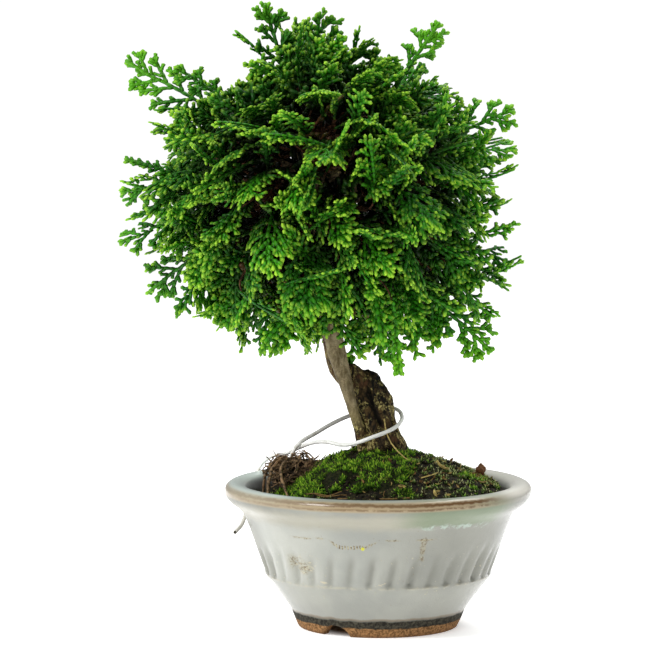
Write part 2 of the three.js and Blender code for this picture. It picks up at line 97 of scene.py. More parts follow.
def dye(red, green, blue):
    """A screen colour from 0 to 255 as the linear colour that a shader takes."""
    shares = [channel / 255 for channel in (red, green, blue)]
    return (*(s / 12.92 if s <= 0.04045 else ((s + 0.055) / 1.055) ** 2.4 for s in shares), 1)


class Tone:
    """One value, colour or vector of a finish. Sums and products of values add Math nodes."""

    def __init__(self, finish, socket):
        self.finish = finish
        self.socket = socket

    def maths(self, operation, first, second=0.0):
        return self.finish.node("ShaderNodeMath", {"operation": operation}, {0: first, 1: second})

    def __add__(self, other):
        return self.maths("ADD", self, other)

    def __sub__(self, other):
        return self.maths("SUBTRACT", self, other)

    def __rsub__(self, other):
        return self.maths("SUBTRACT", other, self)

    def __mul__(self, other):
        return self.maths("MULTIPLY", self, other)

    def __truediv__(self, other):
        return self.maths("DIVIDE", self, other)

    def __pow__(self, other):
        return self.maths("POWER", self, other)

    __radd__ = __add__

    def cosine(self):
        return self.maths("COSINE", self)

    def rise(self, start, end):
        """0 below start and 1 above end, with a soft step between them."""
        settings = {"interpolation_type": "SMOOTHSTEP", "clamp": True}
        inputs = {"Value": self, "From Min": start, "From Max": end}
        return self.finish.node("ShaderNodeMapRange", settings, inputs)

    def band(self, start, end, soft):
        """1 between start and end, with soft sides."""
        return self.rise(start - soft, start + soft) * (1 - self.rise(end - soft, end + soft))

    def dyed(self, share, colour):
        """This colour with a share of another over it."""
        return self.finish.mix(share, self, colour)


class Finish:
    """One procedural material. Its patterns lie in millimetres round the pot's axis."""

    def __init__(self, name, **constants):
        self.material = bpy.data.materials.new(name)
        self.material.use_nodes = True
        self.tree = self.material.node_tree
        self.shader = self.tree.nodes["Principled BSDF"]
        for socket, value in constants.items():
            self.shader.inputs[socket.replace("_", " ")].default_value = value

    def node(self, kind, settings, inputs, output=0):
        node = self.tree.nodes.new(kind)
        for name, value in settings.items():
            setattr(node, name, value)
        for name, value in inputs.items():
            self.feed(node.inputs[name], value)
        return Tone(self, node.outputs[output])

    def feed(self, socket, value):
        if isinstance(value, Tone):
            self.tree.links.new(value.socket, socket)
        else:
            socket.default_value = value

    def place(self, stretch=(1, 1, 1)):
        """Object coordinates in millimetres round the pot's axis."""
        raw = self.node("ShaderNodeTexCoord", {}, {}, "Object")
        scale = tuple(s / MM for s in stretch)
        shift = tuple(-c * s for c, s in zip(POT_AXIS, scale))
        return self.node("ShaderNodeMapping", {}, {"Vector": raw, "Location": shift, "Scale": scale})

    def axes(self):
        """The same coordinates as three values."""
        where = self.place()
        return [self.node("ShaderNodeSeparateXYZ", {}, {0: where}, axis) for axis in "XYZ"]

    def grain(self, size, detail=3, rough=0.55, stretch=(1, 1, 1), warp=0):
        """Cloudy noise from 0 to 1 with patches of about this size in millimetres."""
        inputs = {"Vector": self.place(stretch), "Scale": 1 / size, "Detail": detail,
                  "Roughness": rough, "Distortion": warp}
        return self.node("ShaderNodeTexNoise", {}, inputs)

    def cells(self, size, feature="F1", stretch=(1, 1, 1)):
        """Distance to the middle, or to the edge, of irregular cells."""
        inputs = {"Vector": self.place(stretch), "Scale": 1 / size}
        return self.node("ShaderNodeTexVoronoi", {"feature": feature}, inputs, "Distance")

    def attribute(self, name):
        return self.node("ShaderNodeAttribute", {"attribute_name": name}, {}, "Fac")

    def mix(self, share, first, second):
        """Two colours mixed by a share of the second. Plain ones are given from 0 to 255."""
        first, second = (dye(*c) if isinstance(c, tuple) else c for c in (first, second))
        return self.node("ShaderNodeMix", {"data_type": "RGBA"}, {0: share, 6: first, 7: second}, 2)

    def colour(self, value):
        self.feed(self.shader.inputs["Base Color"], value)

    def roughness(self, value):
        self.feed(self.shader.inputs["Roughness"], value)

    def relief(self, height, depth):
        """Raises the surface by height, from 0 to 1, times a depth in millimetres."""
        inputs = {"Height": height, "Distance": depth * MM, "Strength": 1.0}
        bump = self.node("ShaderNodeBump", {}, inputs)
        self.feed(self.shader.inputs["Normal"], bump)


def coating_finish():
    finish = Finish("wire_coating", Specular_IOR_Level=0.5)
    x, y, z = finish.axes()
    hanging = 1 - z.rise(*GRIMY_END)
    # Painted shade on the back of the loop, under the crown.
    behind = y.rise(*LOOP_BACK) * z.rise(*LOOP_HEIGHT)
    grime = finish.grain(5, 4).rise(0.56, 0.75) + hanging * 0.7
    coat = finish.mix(grime * 0.5, COAT_WHITE, COAT_GRIME)
    finish.colour(coat.dyed(behind * 0.45, COAT_PAINTED_SHADE))
    finish.roughness(grime * 0.3 + 0.32)
    finish.relief(finish.grain(0.8, 2), 0.05)
    return finish.material


def bare_iron_finish():
    finish = Finish("wire_end", Metallic=0.6)
    finish.colour(finish.mix(finish.grain(0.4), IRON_DARK, IRON_PALE))
    finish.roughness(finish.grain(0.3) * 0.3 + 0.4)
    return finish.material


def deselect():
    bpy.ops.object.select_all(action="DESELECT")


def round_curve(name, lines, radius, sides, steps):
    """A round curve through lines of places, each with its share of the radius at every place."""
    curve = bpy.data.curves.new(name, "CURVE")
    curve.dimensions = "3D"
    curve.bevel_depth = radius * MM
    curve.bevel_resolution = sides
    curve.resolution_u = steps
    curve.use_fill_caps = True
    for line, shares in lines:
        spline = curve.splines.new("BEZIER")
        spline.bezier_points.add(len(line) - 1)
        for knot, place, share in zip(spline.bezier_points, line, shares):
            knot.co = spot(*place)
            knot.radius = share
            knot.handle_left_type = knot.handle_right_type = "AUTO"
    item = bpy.data.objects.new(name, curve)
    bpy.context.collection.objects.link(item)
    return item


even = [1] * len(WIRE_ROUTE)
tie_wire = round_curve("tie_wire_coat", [(WIRE_ROUTE, even)], WIRE_RADIUS, sides=3, steps=8)
tie_wire.data.materials.append(coating_finish())

# The cut end shows the dark iron inside the coat.
end = spot(*WIRE_ROUTE[-1])
run_out = (end - spot(*WIRE_ROUTE[-2])).normalized()
deselect()
bpy.ops.mesh.primitive_cylinder_add(
    vertices=20, radius=CORE_RADIUS * MM, depth=CORE_LONG * MM,
    location=end - run_out * CORE_SUNK * MM, rotation=run_out.to_track_quat("Z", "Y").to_euler())
wire_end = bpy.context.object
wire_end.name = "tie_wire_end"
bpy.ops.object.mode_set(mode="EDIT")
bpy.ops.mesh.bevel(offset=CORE_BEVEL * MM, segments=2)
bpy.ops.object.mode_set(mode="OBJECT")
bpy.ops.object.transform_apply(location=True, rotation=True, scale=True)
bpy.ops.object.shade_smooth_by_angle(angle=math.radians(40))
wire_end.data.materials.append(bare_iron_finish())

for piece in (tie_wire, wire_end):
    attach(piece, "root")
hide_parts("tie_wire")
tuple(spot(*WIRE_ROUTE[0]))


# ---- pot ----
# Round stoneware bonsai pot, thrown and then cut: a rolled rim, a wall with flutes round its lower
# half, a cone below them and a foot ring with three arched notches. Pale grey glaze over brown clay.

FLUTES, FLUTE_COLUMNS = 36, 9
FLUTE_DEPTH, FLUTE_TWIST, FLUTE_CREST = 1.6, 0.0032, 1.9
FLUTE_FROM, FLUTE_LEVEL, FLUTE_FADE, FLUTE_TO = 26, 30, 33, 46
NOTCHES, NOTCH_AZIMUTH, NOTCH_HALF, NOTCH_HEIGHT = 3, -32, 7.5, 5.6
FOOT_RADIUS, CUTTER_LONG, DRAIN_RADIUS, POT_FLOOR, RIM_START = 38, 20, 9, 10, 70
# Radius and height, once round the section: up the outside, over the rim and down the inside.
POT_SECTION = [
    (34.2, 0.35), (34.9, 0), (38.3, 0), (39.1, 0.5), (39.9, 2.2), (40.8, 4.4), (41.7, 6.6), (42.5, 8.7),
    (43.9, 10.9), (46.6, 14.6), (49.5, 18.4), (52.3, 22.1), (54.1, 24.3), (54.9, 25.5), (55.3, 26.1),
    (55.35, 26.6), (55.5, 27.4), (55.8, 28.5), (56.5, 30.5), (57.3, 32.8), (58.1, 35.1), (58.9, 37.4),
    (59.7, 39.7), (60.5, 42), (61.3, 44.3), (62.1, 46.6), (63.2, 49.6), (64.4, 52.5), (65.4, 54.8),
    (66.5, 56.6), (67.9, 58.3), (69.7, 59.8), (71.7, 61.2), (73.3, 62.7), (74.4, 64.3), (74.95, 66),
    (74.9, 67.8), (74.2, 69.2), (73, 70.2), (71.4, 70.8), (69.6, 70.9), (67.6, 70.6), (65.8, 69.8),
    (64.3, 68.5), (63.1, 66.5), (62.2, 63.8), (61.2, 58), (59.4, 51.5), (54, 40.5), (46.5, 26.5),
    (39.8, 13.6), (36, POT_FLOOR + 0.6), (30, POT_FLOOR), (DRAIN_RADIUS + 0.6, POT_FLOOR),
    (DRAIN_RADIUS, POT_FLOOR - 0.6), (DRAIN_RADIUS, 5.6), (DRAIN_RADIUS + 0.6, 5), (30.5, 5), (33, 3.4),
]
GLAZE_GREY, GLAZE_MILK, GLAZE_PAINTED_SHADE = (156, 158, 151), (171, 172, 163), (122, 122, 112)
GLAZE_PAINTED_LIGHT, GLAZE_CREAM, INSIDE_EARTH_AND_SHADE = (196, 198, 190), (168, 164, 147), (44, 38, 28)
RIM_BLUE, RIM_CREAM = (220, 232, 226), (236, 234, 224)
RIM_BROWN, RIM_TAN = (98, 70, 38), (168, 150, 118)
CELADON, DRIP_WHITE, FLECK_CREAM = (110, 128, 94), (172, 188, 176), (196, 188, 162)
STAIN, STAIN_HALO, SPECK, PAINT_SPOT = (112, 88, 54), (176, 166, 132), (140, 104, 60), (206, 204, 62)
BAND_DARK, BAND_GREY, CLAY, CLAY_DARK = (30, 28, 22), (78, 74, 62), (166, 124, 80), (100, 72, 44)
# Cream spots on the wall: across, height, and the squares of the radius where each fades and is full.
CREAM_SPOTS = [(-35, 37, 36, 20), (-27, 28.5, 9, 3), (1, 29.5, 7, 2), (15, 28.5, 6, 2)]
PAINT_ACROSS, PAINT_HEIGHT = -8.2, 46.6


def pulled(name, rows, sides, closed=False, capped=True):
    """A circle pulled up through rows of (x, y, z, half width, half depth), in millimetres.
    A closed one ends where it starts, and a capped one is filled at both ends."""
    deselect()
    x, y, z, wide, deep = rows[0]
    bpy.ops.mesh.primitive_circle_add(vertices=sides, radius=MM, location=spot(x, y, z))
    item = bpy.context.object
    item.name = item.data.name = name
    bpy.ops.object.transform_apply(location=True)
    bpy.ops.object.mode_set(mode="EDIT")
    bpy.ops.transform.resize(value=(wide, deep, 1), center_override=spot(x, y, z))
    if capped and not closed:
        bpy.ops.mesh.edge_face_add()
    for before, row in zip(rows, [*rows[1:], rows[0]] if closed else rows[1:]):
        move = (Vector(row[:3]) - Vector(before[:3])) * MM
        bpy.ops.mesh.extrude_region_move(TRANSFORM_OT_translate={"value": move})
        grow = (row[3] / before[3], row[4] / before[4], 1)
        bpy.ops.transform.resize(value=grow, center_override=spot(*row[:3]))
    bpy.ops.mesh.select_all(action="SELECT")
    bpy.ops.mesh.remove_doubles(threshold=0.002 * MM)
    bpy.ops.mesh.normals_make_consistent(inside=False)
    bpy.ops.object.mode_set(mode="OBJECT")
    return item


def places(item):
    """Every vertex of a piece, in millimetres round the pot's axis."""
    flat = np.empty(3 * len(item.data.vertices))
    item.data.vertices.foreach_get("co", flat)
    return (flat.reshape(-1, 3) - np.array(POT_AXIS)) / MM


def put(item, points):
    """Moves every vertex of a piece to its place round the pot's axis."""
    item.data.vertices.foreach_set("co", (points * MM + np.array(POT_AXIS)).ravel())
    item.data.update()


def step(value, start, end):
    share = np.clip((value - start) / (end - start), 0, 1)
    return share * share * (3 - 2 * share)


def cut_flutes(item):
    """Sinks the flutes into the wall: sharp at the ridge below, fading out above."""
    points = places(item)
    turn = np.arctan2(points[:, 1], points[:, 0])
    radius = np.hypot(points[:, 0], points[:, 1])
    height = points[:, 2]
    outside = (radius > 50 + 0.25 * (height - 20)) & (radius < RIM_START)
    waver = 1 + 0.4 * np.sin(5 * turn + 1) * np.sin(13 * turn)
    fade = 1 - step(height, FLUTE_FADE, FLUTE_TO + 3 * np.sin(7 * turn))
    start = step(height, FLUTE_FROM, FLUTE_FROM + 3)
    hollow = (0.5 - 0.5 * np.cos(FLUTES * (turn - FLUTE_TWIST * (height - FLUTE_LEVEL)))) ** FLUTE_CREST
    sink = FLUTE_DEPTH * waver * fade * start * hollow * outside
    keep = 1 - sink / np.maximum(radius, 1)
    points[:, :2] *= keep[:, None]
    put(item, points)


def notch_cutter(azimuth):
    """An arched bar that stands through one side of the foot ring."""
    deselect()
    bpy.ops.mesh.primitive_cylinder_add(
        vertices=48, radius=1, depth=CUTTER_LONG, rotation=(math.pi / 2, 0, 0))
    bar = bpy.context.object
    bpy.ops.object.transform_apply(rotation=True)
    bpy.ops.object.mode_set(mode="EDIT")
    grow = (NOTCH_HALF * MM, MM, NOTCH_HEIGHT * MM)
    bpy.ops.transform.resize(value=grow, center_override=(0, 0, 0))
    bpy.ops.object.mode_set(mode="OBJECT")
    turn = math.radians(azimuth)
    bar.rotation_euler = (0, 0, turn)
    out = Vector((math.sin(turn), -math.cos(turn), 0))
    bar.location = POT_AXIS + out * FOOT_RADIUS * MM
    bpy.ops.object.transform_apply(location=True, rotation=True)
    return bar


def pick(item):
    """Makes a piece the only one that the next operator works on."""
    deselect()
    item.select_set(True)
    bpy.context.view_layer.objects.active = item


def finish_with(item, kind, **settings):
    """Adds a modifier and applies it."""
    pick(item)
    modifier = item.modifiers.new(kind.lower(), kind)
    for name, value in settings.items():
        setattr(modifier, name, value)
    bpy.ops.object.modifier_apply(modifier=modifier.name)


def smooth(item, angle=None):
    pick(item)
    if angle:
        bpy.ops.object.shade_smooth_by_angle(angle=math.radians(angle))
    else:
        bpy.ops.object.shade_smooth()


def cover(item, material):
    """Gives a piece one material all over."""
    item.data.materials.clear()
    item.data.materials.append(material)


def glaze_finish():
    finish = Finish("pale_glaze", Specular_IOR_Level=0.18, Coat_Roughness=0.14, Coat_IOR=1.34)
    x, y, z = finish.axes()
    turn = y.maths("ARCTAN2", y, x) * (180 / math.pi)
    radius = (x * x + y * y) ** 0.5
    cloud = finish.grain(26, 3)
    fine = finish.grain(3.2, 4, 0.6)
    streak = finish.grain(9, 3, stretch=(1, 1, 0.25))
    flute = ((turn * (math.pi / 180) - (z - FLUTE_LEVEL) * FLUTE_TWIST) * FLUTES).cosine()
    front = 1 - y.rise(-20, 0)
    outer = radius.rise(40, 44)

    glaze = finish.mix(cloud.rise(0.35, 0.68), GLAZE_GREY, GLAZE_MILK)
    # Darker flute valleys: pooled glaze and painted shade.
    valley = (0.5 - flute * 0.5) ** 3 * z.band(27, 41, 4)
    glaze = glaze.dyed(valley * 0.55, GLAZE_PAINTED_SHADE)
    # Painted shade: darker on the right, under the rim's roll and towards the bottom.
    right = (x.rise(-10, 38) * 0.62 - x.rise(52, 62) * 0.12) * (1 - z.rise(60, 66))
    right = right * (z.rise(20, 32) * 0.7 + 0.3)
    under = z.band(59.5, 66.5, 1.5) * (0.85 - x.rise(-62, -40) * 0.55 + x.rise(42, 60) * 0.3)
    glaze = glaze.dyed((1 - z.rise(10, 40)) * 0.25 + right + under, GLAZE_PAINTED_SHADE)
    # Painted light on the left of the wall and painted shade along its left edge.
    leftward = x / radius
    lit = leftward.rise(-0.97, -0.84) * (1 - x.rise(-60, -5)) * (1 - z.rise(56, 60)) * z.rise(22, 32)
    glaze = glaze.dyed(lit * 0.42, GLAZE_PAINTED_LIGHT)
    edge = (1 - leftward.rise(-0.99, -0.85)) * outer * z.rise(24, 28) * (1 - z.rise(64, 67))
    glaze = glaze.dyed(edge * 0.7, GLAZE_PAINTED_SHADE)
    cream = (z + streak * 5).band(58.5, 66, 2.5) * (1 - turn.band(-75, -10, 12))
    glaze = glaze.dyed(cream * 0.8, GLAZE_CREAM)

    run_down = z + streak * 7 + fine * 3
    wash = turn.band(-80, -34, 9) * run_down.band(62, 80, 1.5)
    glaze = glaze.dyed(wash * 0.7, CELADON)
    drip = turn.band(-72, -40, 4) * run_down.band(60.6, 62.4, 0.6) * fine.rise(0.44, 0.56)
    glaze = glaze.dyed(drip * 0.8, DRIP_WHITE)

    # The rim: bluish on the left and creamy on the right, worn brown along two lines of its roll.
    roll = radius.rise(70.2, 71.6)
    rim = finish.mix(x.rise(-20, 55), RIM_BLUE, RIM_CREAM)
    # Painted shade along the front of the rim.
    rim = rim.dyed((1 - y.rise(-68, -50)) * 0.6, GLAZE_PAINTED_SHADE)
    glaze = glaze.dyed(z.rise(66.5, 69.5) * (1 - wash * 0.7), rim)
    tan = z.band(65.6, 70.2, 0.7) * roll * (x.band(-40, 48, 20) * 0.25 + 0.75 - x.rise(40, 66) * 0.6)
    glaze = glaze.dyed(tan, RIM_TAN)
    worn_off = (x.rise(-75, -5) * 0.6 + 0.35 + x.rise(8, 30) * 0.2) * (1 - x.rise(46, 62))
    worn_off = worn_off * (1 - y.rise(-10, 30) * 0.6)
    upper = (z + fine * 2 + cloud).band(69.5, 70.9, 0.5) * roll
    glaze = glaze.dyed(upper * worn_off * 0.85, RIM_BROWN)
    lower = (z + fine * 1.2 + cloud * 2).band(67.7, 68.7, 0.5) * roll
    glaze = glaze.dyed(lower * worn_off * fine.rise(0.3, 0.55) * 0.7, RIM_BROWN)

    ridge = (z + cloud * 1.5).band(26.4, 27.6, 0.6) * finish.grain(3, 3).rise(0.35, 0.65)
    glaze = glaze.dyed(ridge * 0.4 * outer, FLECK_CREAM)
    # The inside wall above the earth: an earth stain and painted shade, stronger on the left.
    earth_stain_and_shade = (1 - radius.rise(62.5, 66.8)) * z.rise(12, 14) * (1 - outer * (1 - z.rise(58, 62)))
    glaze = glaze.dyed(earth_stain_and_shade * (0.85 - x.rise(-50, 10) * 0.6), INSIDE_EARTH_AND_SHADE)
    dotted = finish.grain(0.9, 3, 0.7).rise(0.5, 0.6)
    worn = finish.grain(6, 3).rise(0.42, 0.6)
    notched = x.band(-22, -4, 4) * front
    ticks = (turn * (2 * math.pi / 1.3)).cosine().rise(-0.4, 0.5)
    groove = (z + streak * 2 + notched * 3.2).band(51.3 - notched * 0.9, 52.2, 0.4)
    groove = groove * turn.band(-130, -66, 4)
    groove = groove * (1 - (1 - worn) * (1 - notched)) * (1 - (1 - ticks) * notched)
    run = (turn + fine * 3).band(-70.5, -68, 0.7) * z.band(36, 51, 2) * worn
    smudge = (x + 38).band(-5, 5, 2.5) * (z + x * 0.4).band(18, 24, 3) * worn * front
    marks = groove * (notched * 0.8 + 1) + run + smudge
    glaze = glaze.dyed(marks * 0.45, STAIN_HALO)
    glaze = glaze.dyed(marks * dotted * 0.8, STAIN)
    scratch = finish.grain(1.6, 2, stretch=(0.5, 0.5, 1.6)).rise(0.58, 0.64)
    spots = sum(((x - across) ** 2 + (z - height) ** 2).rise(fade, full)
                for across, height, fade, full in CREAM_SPOTS) * front
    glaze = glaze.dyed(spots * scratch * 0.9, FLECK_CREAM)
    paint = ((x - PAINT_ACROSS) ** 2 + (z - PAINT_HEIGHT) ** 2) ** 0.5
    glaze = glaze.dyed((1 - paint.rise(0.6, 1.1)) * front, PAINT_SPOT)
    specks = finish.grain(1.3, 2).rise(0.70, 0.78) * finish.grain(17, 2).rise(0.5, 0.62)
    glaze = glaze.dyed(specks * 0.7, SPECK)
    flecks = finish.grain(1.7, 2).rise(0.66, 0.74) * z.band(20, 44, 4) * cloud.rise(0.4, 0.55)
    glaze = glaze.dyed(flecks * 0.7, FLECK_CREAM)

    wobble = finish.grain(8, 3) * 2.2
    grey = 1 - (z + wobble).rise(9.0, 10.4)
    metal = finish.mix(finish.grain(1.6, 4, 0.7).rise(0.35, 0.7), BAND_DARK, BAND_GREY)
    fringe = (z + wobble).band(9.6, 10.8, 0.5)
    glaze = glaze.dyed(fringe * 0.6, STAIN)
    colour = finish.mix(grey, glaze, metal)
    bare = 1 - (z + wobble).rise(5.4, 6.1)
    bare = 1 - (1 - bare) * (1 - (1 - radius.rise(33, 35)) * (1 - z.rise(9, 9.8)))
    clay = finish.mix(finish.grain(1.1, 4).rise(0.35, 0.65), CLAY_DARK, CLAY)
    clay = clay.dyed((1 - z.rise(0.3, 2.2)) * 0.5, CLAY_DARK)
    finish.colour(colour.dyed(bare, clay))
    finish.roughness(grey * 0.35 + bare * 0.1 + fine * 0.1 + 0.4)
    finish.feed(finish.shader.inputs["Coat Weight"], (1 - grey) * (0.8 - edge * 0.6))
    pits = finish.cells(1.1).rise(0.0, 0.3) * 0.25
    blister = (specks + flecks + ridge * outer + drip + marks * dotted) * 0.5
    lumps = finish.grain(6, 4) * 0.9 + blister + fine * 0.3 + bare * finish.grain(0.9, 4)
    finish.relief(lumps + pits, 0.35)
    return finish.material


section_rows = [(0, 0, height, radius, radius) for radius, height in POT_SECTION]
pot = pulled("glazed_pot", section_rows, FLUTES * FLUTE_COLUMNS, closed=True)
cut_flutes(pot)
for i in range(NOTCHES):
    cutter = notch_cutter(NOTCH_AZIMUTH + 360 / NOTCHES * i)
    finish_with(pot, "BOOLEAN", operation="DIFFERENCE", object=cutter, solver="EXACT")
    bpy.data.objects.remove(cutter)
smooth(pot, 38)
cover(pot, glaze_finish())
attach(pot, "root")
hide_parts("pot")


# ---- drain screen ----
# A round piece of black plastic mesh that lies loose over the drain hole, under the earth. It stays
# as built and gets the finish of moulded plastic.

SCREEN_BLACK, SCREEN_DUST = (24, 24, 24), (70, 58, 44)


def screen_finish():
    finish = Finish("black_mesh")
    dust = finish.grain(2.5, 3).rise(0.5, 0.75)
    finish.colour(finish.mix(dust * 0.5, SCREEN_BLACK, SCREEN_DUST))
    finish.roughness(dust * 0.3 + 0.45)
    return finish.material


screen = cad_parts["drain_screen"]
cover(screen, screen_finish())


# ---- soil ----
# Dark, damp earth that fills the pot and is heaped up round the trunk, with loose crumbs, grit and
# a few pale lichened patches on it.

WALL_LEVEL, MOUND_HEIGHT, MOUND_TOP, MOUND_RADIUS, MOUND_ROUND = 69.2, 16.5, 10, 61, 1.8
WAVE_HEIGHT, LEFT_DIP, RIGHT_DIP = 0.6, 10.5, 1.9
LUMP_SIZE, LUMP_HEIGHT, GRIT_SIZE, GRIT_HEIGHT = 5, 1.3, 1.6, 0.6
SOIL_SIDES, SOIL_RINGS = 150, 52
# Height and radius of the earth at the pot's floor and half way up its wall.
SOIL_BELOW = [(11.6, 37.6), (50, 57.6)]
CRUMBS, CRUMB_REACH, CRUMB_SQUASH = 900, 59, (1, 0.8, 0.65)
CRUMB_LEAST, CRUMB_MORE, CRUMB_LIFT = 0.45, 1.3, 0.3
SOIL_DARK, SOIL_BROWN, SOIL_PALE, DRY_MOSS = (12, 10, 6), (52, 42, 25), (158, 146, 100), (82, 88, 40)


def mound_height(x, y):
    """Height of the earth at a place in the pot."""
    radius = np.hypot(x, y)
    share = np.clip((radius - MOUND_TOP) / (MOUND_RADIUS - MOUND_TOP), 0, 1)
    mound = MOUND_HEIGHT * (1 - share ** MOUND_ROUND) + WAVE_HEIGHT * np.sin(x * 0.21) * np.cos(y * 0.17)
    return WALL_LEVEL + mound - step(0.15 * y - x, 10, 50) * LEFT_DIP - step(x, 8, 26) * RIGHT_DIP


def ripple(points, size, octaves=3, seed=0):
    """Fractal noise from about -1 to 1 at each point."""
    shift = Vector((seed * 7.3, seed * 3.1, seed * 5.7))
    return np.array([noise.fractal(Vector(p) / size + shift, 0.9, 2.1, octaves) for p in points])


def joined(name, items):
    """One piece made of several."""
    deselect()
    for item in items:
        item.select_set(True)
    bpy.context.view_layer.objects.active = items[0]
    bpy.ops.object.join()
    items[0].name = items[0].data.name = name
    return items[0]


def mark(item, layer, value):
    """Gives the vertices of a piece one value, or one each, that its material reads."""
    values = np.zeros(len(item.data.vertices)) + value
    item.data.attributes.new(layer, "FLOAT", "POINT").data.foreach_set("value", values)


def build_mesh(name, points, faces, layers):
    """A piece from arrays of points in millimetres round the pot's axis and of faces."""
    mesh = bpy.data.meshes.new(name)
    item = bpy.data.objects.new(name, mesh)
    bpy.context.collection.objects.link(item)
    mesh.vertices.add(len(points))
    put(item, points)
    sizes = np.array([len(face) for face in faces], dtype=np.int32)
    mesh.loops.add(int(sizes.sum()))
    mesh.loops.foreach_set("vertex_index", np.concatenate([np.asarray(face) for face in faces]))
    mesh.polygons.add(len(faces))
    mesh.polygons.foreach_set("loop_start", np.concatenate([[0], np.cumsum(sizes)[:-1]]))
    mesh.polygons.foreach_set("use_smooth", np.ones(len(faces), dtype=bool))
    mesh.update(calc_edges=True)
    mesh.validate()
    for layer, values in layers.items():
        mark(item, layer, values)
    return item


def ball(subdivisions):
    """A round lump of 1 mm radius at the pot's axis, to be shaped."""
    deselect()
    bpy.ops.mesh.primitive_ico_sphere_add(subdivisions=subdivisions, radius=MM, location=POT_AXIS)
    bpy.ops.object.transform_apply(location=True)
    return bpy.context.object


def pattern_of(item):
    """The points and faces of a piece that is copied many times, which itself then goes."""
    points = places(item)
    faces = [tuple(face.vertices) for face in item.data.polygons]
    bpy.data.objects.remove(item)
    return points, faces


def unit(vectors):
    return vectors / np.linalg.norm(vectors, axis=-1, keepdims=True)


def turn_about(axis, angle):
    """Rotation matrices about unit axes."""
    x, y, z = axis.T
    c, s = np.cos(angle), np.sin(angle)
    t = 1 - c
    rows = [[t * x * x + c, t * x * y - s * z, t * x * z + s * y],
            [t * x * y + s * z, t * y * y + c, t * y * z - s * x],
            [t * x * z - s * y, t * y * z + s * x, t * z * z + c]]
    return np.moveaxis(np.array(rows), -1, 0)


def scattered(points, faces, spots, turns, sizes):
    """Copies of a pattern, each turned, sized and set at its spot."""
    copies = np.einsum("nij,vj->nvi", turns, points) * sizes[:, None, None] + spots[:, None, :]
    count = len(points)
    all_faces = [tuple(v + k * count for v in face) for k in range(len(spots)) for face in faces]
    return copies.reshape(-1, 3), all_faces


def soil_finish():
    finish = Finish("damp_earth", Specular_IOR_Level=0.25)
    crumb = finish.grain(1.4, 5, 0.7)
    patch = finish.grain(7, 4, 0.65)
    earth = finish.mix(crumb.rise(0.4, 0.66), SOIL_DARK, SOIL_BROWN)
    green = patch.rise(0.5, 0.6) * finish.grain(1.2, 4).rise(0.42, 0.6)
    earth = earth.dyed(green * 0.45, DRY_MOSS)
    grit = finish.grain(1.1, 3).rise(0.64, 0.7)
    finish.colour(earth.dyed(grit * 0.8, SOIL_PALE))
    finish.roughness(crumb * 0.2 + 0.75)
    finish.relief(crumb + finish.cells(0.9) * 0.5, 1.2)
    return finish.material


rng = np.random.default_rng(7)
rings = [(WALL_LEVEL, radius) for radius in (MOUND_RADIUS, *np.linspace(60, 2, SOIL_RINGS))]
soil_rows = [(0, 0, height, radius, radius) for height, radius in SOIL_BELOW + rings]
mound = pulled("soil_mound", soil_rows, SOIL_SIDES)
points = places(mound)
top = points[:, 2] > SOIL_BELOW[-1][0] + 1
x, y = points[top, 0], points[top, 1]
ground = np.c_[x, y, 0 * x]
rough_ground = ripple(ground, LUMP_SIZE, 4) * LUMP_HEIGHT + ripple(ground, GRIT_SIZE, 2, 1) * GRIT_HEIGHT
edge = 1 - step(np.hypot(x, y), MOUND_RADIUS - 2, MOUND_RADIUS)
points[top, 2] = mound_height(x, y) + rough_ground * edge - 0.3
put(mound, points)

crumb_points, crumb_faces = pattern_of(ball(1))
crumb_points = crumb_points * (1 + 0.3 * ripple(crumb_points, 0.7)[:, None]) * CRUMB_SQUASH
reach = CRUMB_REACH * np.sqrt(rng.random(CRUMBS))
turn = rng.random(CRUMBS) * 2 * math.pi
x, y = reach * np.cos(turn), reach * np.sin(turn)
turns = turn_about(unit(rng.normal(size=(CRUMBS, 3))), rng.random(CRUMBS) * 6)
sizes = CRUMB_LEAST + CRUMB_MORE * rng.random(CRUMBS) ** 3
crumbs_at = np.c_[x, y, mound_height(x, y) + CRUMB_LIFT]
crumbs = build_mesh("crumbs", *scattered(crumb_points, crumb_faces, crumbs_at, turns, sizes), {})
soil = joined("soil_mound", [mound, crumbs])
smooth(soil)
cover(soil, soil_finish())
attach(soil, "root")
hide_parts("soil")


# ---- moss ----
# A cushion of live green moss over the left and the front of the mound and round the trunk, with dry
# pale tufts on the right. Each shoot is a small star of pointed leaves, bright at its tip.

MOSS_MIDDLE, MOSS_FULL, MOSS_NONE = math.radians(-126), math.radians(44), math.radians(82)
MOSS_FAR, MOSS_NEAR, MOSS_LIMIT = 57, 19, 59
BARE_PATCH, BARE_WIDE, BARE_DEEP = (-20, -40), 12, 10
MOSS_SHOOTS, DRY_SHOOTS, LOW_SHOOTS = 3400, 650, 600
SHOOTS_FROM, SHOOTS_TO, SHOOT_SUNK = 8, 60, 0.4
CARPET_RINGS, CARPET_EDGE, CARPET_HEART, CARPET_THICK = 40, 57, 5, 1.2
CARPET_SUNK, CARPET_RISE, CARPET_LUMPS = 3, 2.4, 2.2
CARPET_TONES = {"tip": 0.08, "hue": 0.5, "dry": 0}
LEAVES, LEAF_TALL, LEAF_HALF = 5, 3.2, 0.75
LEAN_OUT, LEAN_MIDDLE, SIZE_OUT, SIZE_MIDDLE = 0.8, 0.05, 0.85, 1
MOSS_FRESH_AND_HIGHLIGHT, MOSS_GREEN, MOSS_DARK_AND_SHADE = (214, 242, 84), (96, 154, 26), (8, 16, 3)
MOSS_SHADOW, MOSS_DEAD, MOSS_DRY = (40, 42, 18), (78, 62, 32), (238, 242, 176)


